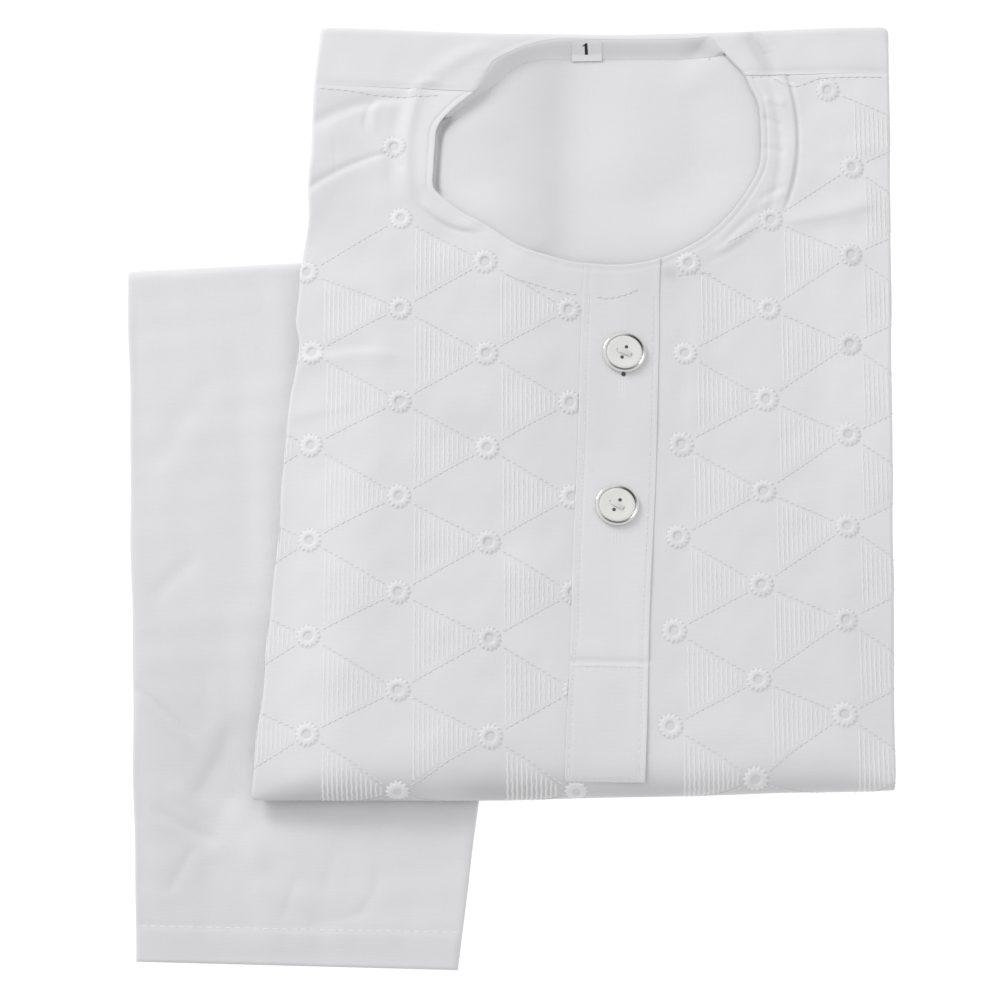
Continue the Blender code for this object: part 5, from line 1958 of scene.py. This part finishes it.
@dataclass
class Shalwar(Piecework):
    """The straight-leg trousers, one leg on the other and folded up at the knee."""

    length: float = 236.0  # from the hem to the fold at the knee
    height: float = 6.6
    half: float = 0.62  # half thickness of a flat leg
    hem_depth: float = 11.5
    hem_raise: float = 0.35
    side_round: float = 1.2
    width: float = 122.0  # in cloth coordinates
    waistband_depth: float = 24.0

    def plan(self, up: Array, across: Array) -> Array:
        """Plan points this far up from the hem and at this share of the width.

        Args:
            up: the distance from the hem.
            across: 0 to 1.

        Returns:
            The places.
        """
        up, across = np.broadcast_arrays(np.asarray(up, float), np.asarray(across, float))
        hem, knee = np.array(SHALWAR_HEM), np.array(SHALWAR_KNEE)
        share = (up / self.length)[..., None]
        left, right = (hem[k] + (knee[k] - hem[k]) * share for k in (0, 1))
        place = left + (right - left) * across[..., None]
        wave = 0.2 * np.sin(up / 13.0) + 0.12 * np.sin(up / 6.1 + 1.0)
        place[..., 0] += wave * (1.0 - 2.0 * across) * (np.abs(across - 0.5) > 0.3)
        return place

    def relief(self, x: Array, y: Array) -> Array:
        """The creases of the leg, laid flat under the kameez."""
        covered = rise(self.packet.outline.nearest(x, y)[0], -1.0, 7.0)
        soft = 0.16 * drift(x, y, 31, 42.0) + 0.07 * drift(x, y, 33, 15.0)
        return (summed(LEG_CREASES, x, y) + soft) * (1.0 - covered)

    def top_of(self, x: Array, y: Array, up: Array) -> Array:
        """The height of the upper face."""
        hem = self.hem_raise * (1.0 - rise(up, self.hem_depth - 0.5, self.hem_depth + 1.0))
        seam = -0.3 * np.exp(-(((up - self.hem_depth) / 0.8) ** 2))
        pucker = 0.10 * np.sin(x / 2.1 + np.sin(x / 5.0)) * np.exp(-(((up - self.hem_depth) / 6.0) ** 2))
        return self.height + self.relief(x, y) + hem + seam + pucker

    def on_top(self, u: Array, v: Array) -> Array:
        """The upper face as a surface: u is 100 times the share across, v is the way up from the hem."""
        place = self.plan(v, np.asarray(u) / 100.0)
        x, y = place[..., 0], place[..., 1]
        return np.stack([x, y, self.top_of(x, y, np.asarray(v))], axis=-1)

    def ring(self, columns: int) -> tuple[Array, Array]:
        """The round of a flat tube: shares across and heights from 1 on its face to -1 below.

        Args:
            columns: how many between its rounded sides.

        Returns:
            The shares and the heights.
        """
        width = self.width
        corner = np.array([0.02, 0.15, 0.4, 0.8, 1.5])
        inner = np.linspace(2.4, width - 2.4, columns)
        reach = np.concatenate([corner, inner, width - corner[::-1]])
        near = np.minimum(reach, width - reach)
        bulge = np.sqrt(np.clip(1.0 - (1.0 - np.minimum(near / self.side_round, 1.0)) ** 2, 0.0, 1.0))
        share = reach / width
        return np.concatenate([share, share[::-1]]), np.concatenate([bulge, -bulge[::-1]])

    def leg_left(self) -> Piece:
        """The leg on top: an open flat tube that folds under at the knee."""
        across, face = self.ring(148)
        top_middle, low_middle = self.height - self.half, self.half
        turn_radius = (top_middle - low_middle) / 2
        rows, cloth = [], []

        def row(up: float, turn: float, size: float, path: float, on_top: bool) -> None:
            """Adds one ring of points.

            Args:
                up: how far up from the hem.
                turn: how far it has gone round the fold, 0 on top and pi below.
                size: the share of its full thickness, less than 1 at the hem.
                path: how far along the cloth.
                on_top: whether it carries the waves of the upper side.
            """
            ahead = up + math.sin(turn) * (turn_radius + face * self.half * size)
            place = self.plan(ahead, across)
            middle = low_middle + turn_radius
            z = middle + math.cos(turn) * (turn_radius + face * self.half * size)
            if on_top:
                x, y = place[:, 0], place[:, 1]
                extra = self.top_of(x, y, np.full(len(x), path)) - self.height
                from_side = np.minimum(across, 1 - across) * self.width
                z = z + extra * (0.55 + 0.45 * face) * rise(from_side, 0.0, 2.5)
            rows.append(np.column_stack([place, z]))
            cloth.append(np.column_stack([across * self.width, np.full(len(across), path)]))

        for up, size in ((9.0, 0.25), (1.5, 0.3), (0.3, 0.42), (0.0, 0.62), (-0.15, 0.82)):
            row(max(up, 0.0), 0.0, size, up, True)
        straight = self.length - turn_radius - self.half
        spans = ((0.05, 14.0, 14), (14.8, 66.0, 62), (67.4, straight, 108))  # closer together near the hem
        for up in np.concatenate([np.linspace(*span) for span in spans]):
            row(float(up), 0.0, 1.0, float(up), True)
        for turn in np.radians(np.arange(15.0, 181.0, 15.0)):
            row(straight, float(turn), 1.0, straight + turn_radius * float(turn), False)
        for up in np.linspace(straight - 6.0, 4.0, 30):
            row(float(up), math.pi, 1.0, 2 * straight - float(up), False)
        finish, tone = self.finishes["trouser"], shaded(rows, LEG_SHADES)
        made = self.shop.sheet("shalwar_leg_left_cloth", rows, finish, cloth, tone, closed=True)
        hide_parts("shalwar_leg_left")
        return made

    def layer(
        self, gathered: Gathered, low: float, top: float, span: tuple, inset: float, gathers: int = 0
    ) -> None:
        """Adds a flat layer inside the leg, with round sides and ends.

        Args:
            gathered: what it is added to.
            low: its underside.
            top: its upper face.
            span: its lower and its upper end, up from the hem, and how many rows it has between them.
            inset: of its sides.
            gathers: how many waves it has across.
        """
        start, stop, count = span
        between = np.linspace(start + 1.2, stop - 1.2, count)
        ups = np.concatenate([[start, start + 0.25], between, [stop - 0.25, stop]])
        across, face = self.ring(44 if gathers == 0 else 6 * gathers)
        middle, half = (low + top) / 2, (top - low) / 2
        wave = 0.3 * (1.0 - np.cos(across * 2 * math.pi * gathers)) * (face > 0)
        rows = []
        for i, up in enumerate(ups):
            end = min(1.0, 0.5 + 0.5 * min(i, len(ups) - 1 - i))
            sway = inset + 0.4 * math.sin(up / 9.0 + low * 3.0)
            share = sway / self.width + across * (1.0 - 2 * sway / self.width)
            place = self.plan(np.full(len(across), up), share)
            rows.append(np.column_stack([place, middle + half * face * end - wave * end]))
        grid = np.array(rows)[:, ::-1]
        gathered.add(grid, grid_faces(*grid.shape[:2], closed=True))

    def inner(self) -> list[Piece]:
        """The other leg, the gathered waistband and what is folded below it."""
        band, made = self.waistband_depth, []
        folded = (band + 0.6, self.length - 7.0, 36)
        for node, layers in (
            ("shalwar_leg_right", ((4.0, 5.15, (1.2, self.length - 8.0, 40), 0.9),)),
            ("shalwar_waistband", ((1.4, 3.8, (2.2, band, 8), 1.1, 16),)),
            ("shalwar_folds", ((1.4, 1.4 + 1.15, folded, 0.8), (2.65, 2.65 + 1.15, folded, 1.4))),
        ):
            gathered = Gathered()
            for layer in layers:
                self.layer(gathered, *layer)
            piece = gathered.build(self.shop, f"{node}_cloth", self.finishes["trouser"])
            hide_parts(node)
            made.append(piece)
        return made


# The studio


@dataclass
class Studio:
    """The pale floor, the soft light and the camera."""

    shop: Workshop
    distance: float = 0.9
    tilt: float = 13.0
    lens: float = 97.2
    aim_height: float = 0.01

    def floor(self) -> None:
        """A wide plain floor."""
        graph = Graph("pale floor")
        grain = graph.noise(graph.where(), 60.0, 3.0)
        graph.feed(
            graph.shader,
            {
                "Base Color": graph.mixed(grain, (0.05, 0.05, 0.05), (0.06, 0.06, 0.06)),
                "Roughness": 0.9,
                "Emission Color": (1.0, 1.0, 1.0, 1.0),
                "Emission Strength": 1.0,
            },
        )
        half = 3.0
        corners = [(-half, -half, 0), (half, -half, 0), (half, half, 0), (-half, half, 0)]
        mesh = bpy.data.meshes.new("floor")
        mesh.from_pydata(corners, [], [(0, 1, 2, 3)])
        mesh.materials.append(graph.material)
        floor = bpy.data.objects.new("floor", mesh)
        bpy.context.scene.collection.objects.link(floor)

    def lamp(self, name: str, place: Triple, size: float, power: float) -> None:
        """A soft square lamp that shines at the set.

        Args:
            name: its name.
            place: where it stands, in metres.
            size: its side, in metres.
            power: in watts.
        """
        light = bpy.data.lights.new(name, "AREA")
        light.size, light.energy = size, power
        lamp = bpy.data.objects.new(name, light)
        lamp.location = place
        aim = Vector((0.0, 0.0, self.aim_height)) - Vector(place)
        lamp.rotation_euler = aim.to_track_quat("-Z", "Y").to_euler()
        bpy.context.scene.collection.objects.link(lamp)

    def build(self) -> None:
        """Sets the floor, the light all round, one weak lamp from the upper left and the camera."""
        self.floor()
        world = bpy.data.worlds.new("white room")
        world.use_nodes = True
        background = world.node_tree.nodes["Background"]
        background.inputs[0].default_value = (1.0, 1.0, 1.0, 1.0)
        background.inputs[1].default_value = 0.74
        bpy.context.scene.world = world
        self.lamp("window", (-0.954, 1.137, 0.964), 0.7, 13.9)
        camera = bpy.data.cameras.new("camera")
        camera.lens, camera.sensor_width = self.lens, 36.0
        camera.clip_start = 0.01
        eye = bpy.data.objects.new("camera", camera)
        tilt = math.radians(self.tilt)
        shift_x, shift_y = self.shop.shift[:2] * METRE
        eye.location = (
            shift_x,
            shift_y - self.distance * math.sin(tilt),
            self.aim_height + self.distance * math.cos(tilt),
        )
        eye.rotation_euler = (tilt, 0.0, 0.0)
        bpy.context.scene.collection.objects.link(eye)
        bpy.context.scene.camera = eye
        bpy.context.scene.view_settings.view_transform = "Standard"


def main() -> None:
    """Builds the set in order."""
    logging.basicConfig(level=logging.INFO, format="%(message)s")
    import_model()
    finishes = {name: finish.material() for name, finish in FINISHES.items()}
    shop, packet = Workshop(), Packet()
    shalwar = Shalwar(packet, shop, finishes)
    leg = shalwar.leg_left()
    others = shalwar.inner()
    body = KameezBody(packet, shop, finishes)
    front, back, facing = body.front(), body.back(), body.facing()
    hidden = HiddenLayers(packet, shop, finishes)
    folds = hidden.folds()
    sleeves = [
        hidden.sleeve_piece("kameez_sleeve_left", "shoulder_left", "fold_left"),
        hidden.sleeve_piece("kameez_sleeve_right", "fold_right", "shoulder_right"),
    ]
    placket = Placket(packet, shop, finishes)
    strip = placket.strip()
    buttons = [
        Button(shop, finishes, "button_1", 68.0, placket).build(),
        Button(shop, finishes, "button_2", 60.0, placket).build(),
    ]
    label = SizeLabel(packet, shop, finishes, body).build()
    embroidery = Embroidery(packet, shop, finishes).build()
    stitches = Stitching(packet, shop, finishes).build(placket, shalwar)
    Studio(shop).build()

    leg_stitches, placket_stitches = stitches[4:6], stitches[2:4] + stitches[6:]
    log.info("%d buttons, %d triangles in all", len(buttons), shop.triangles)


if __name__ == "__main__":
    main()
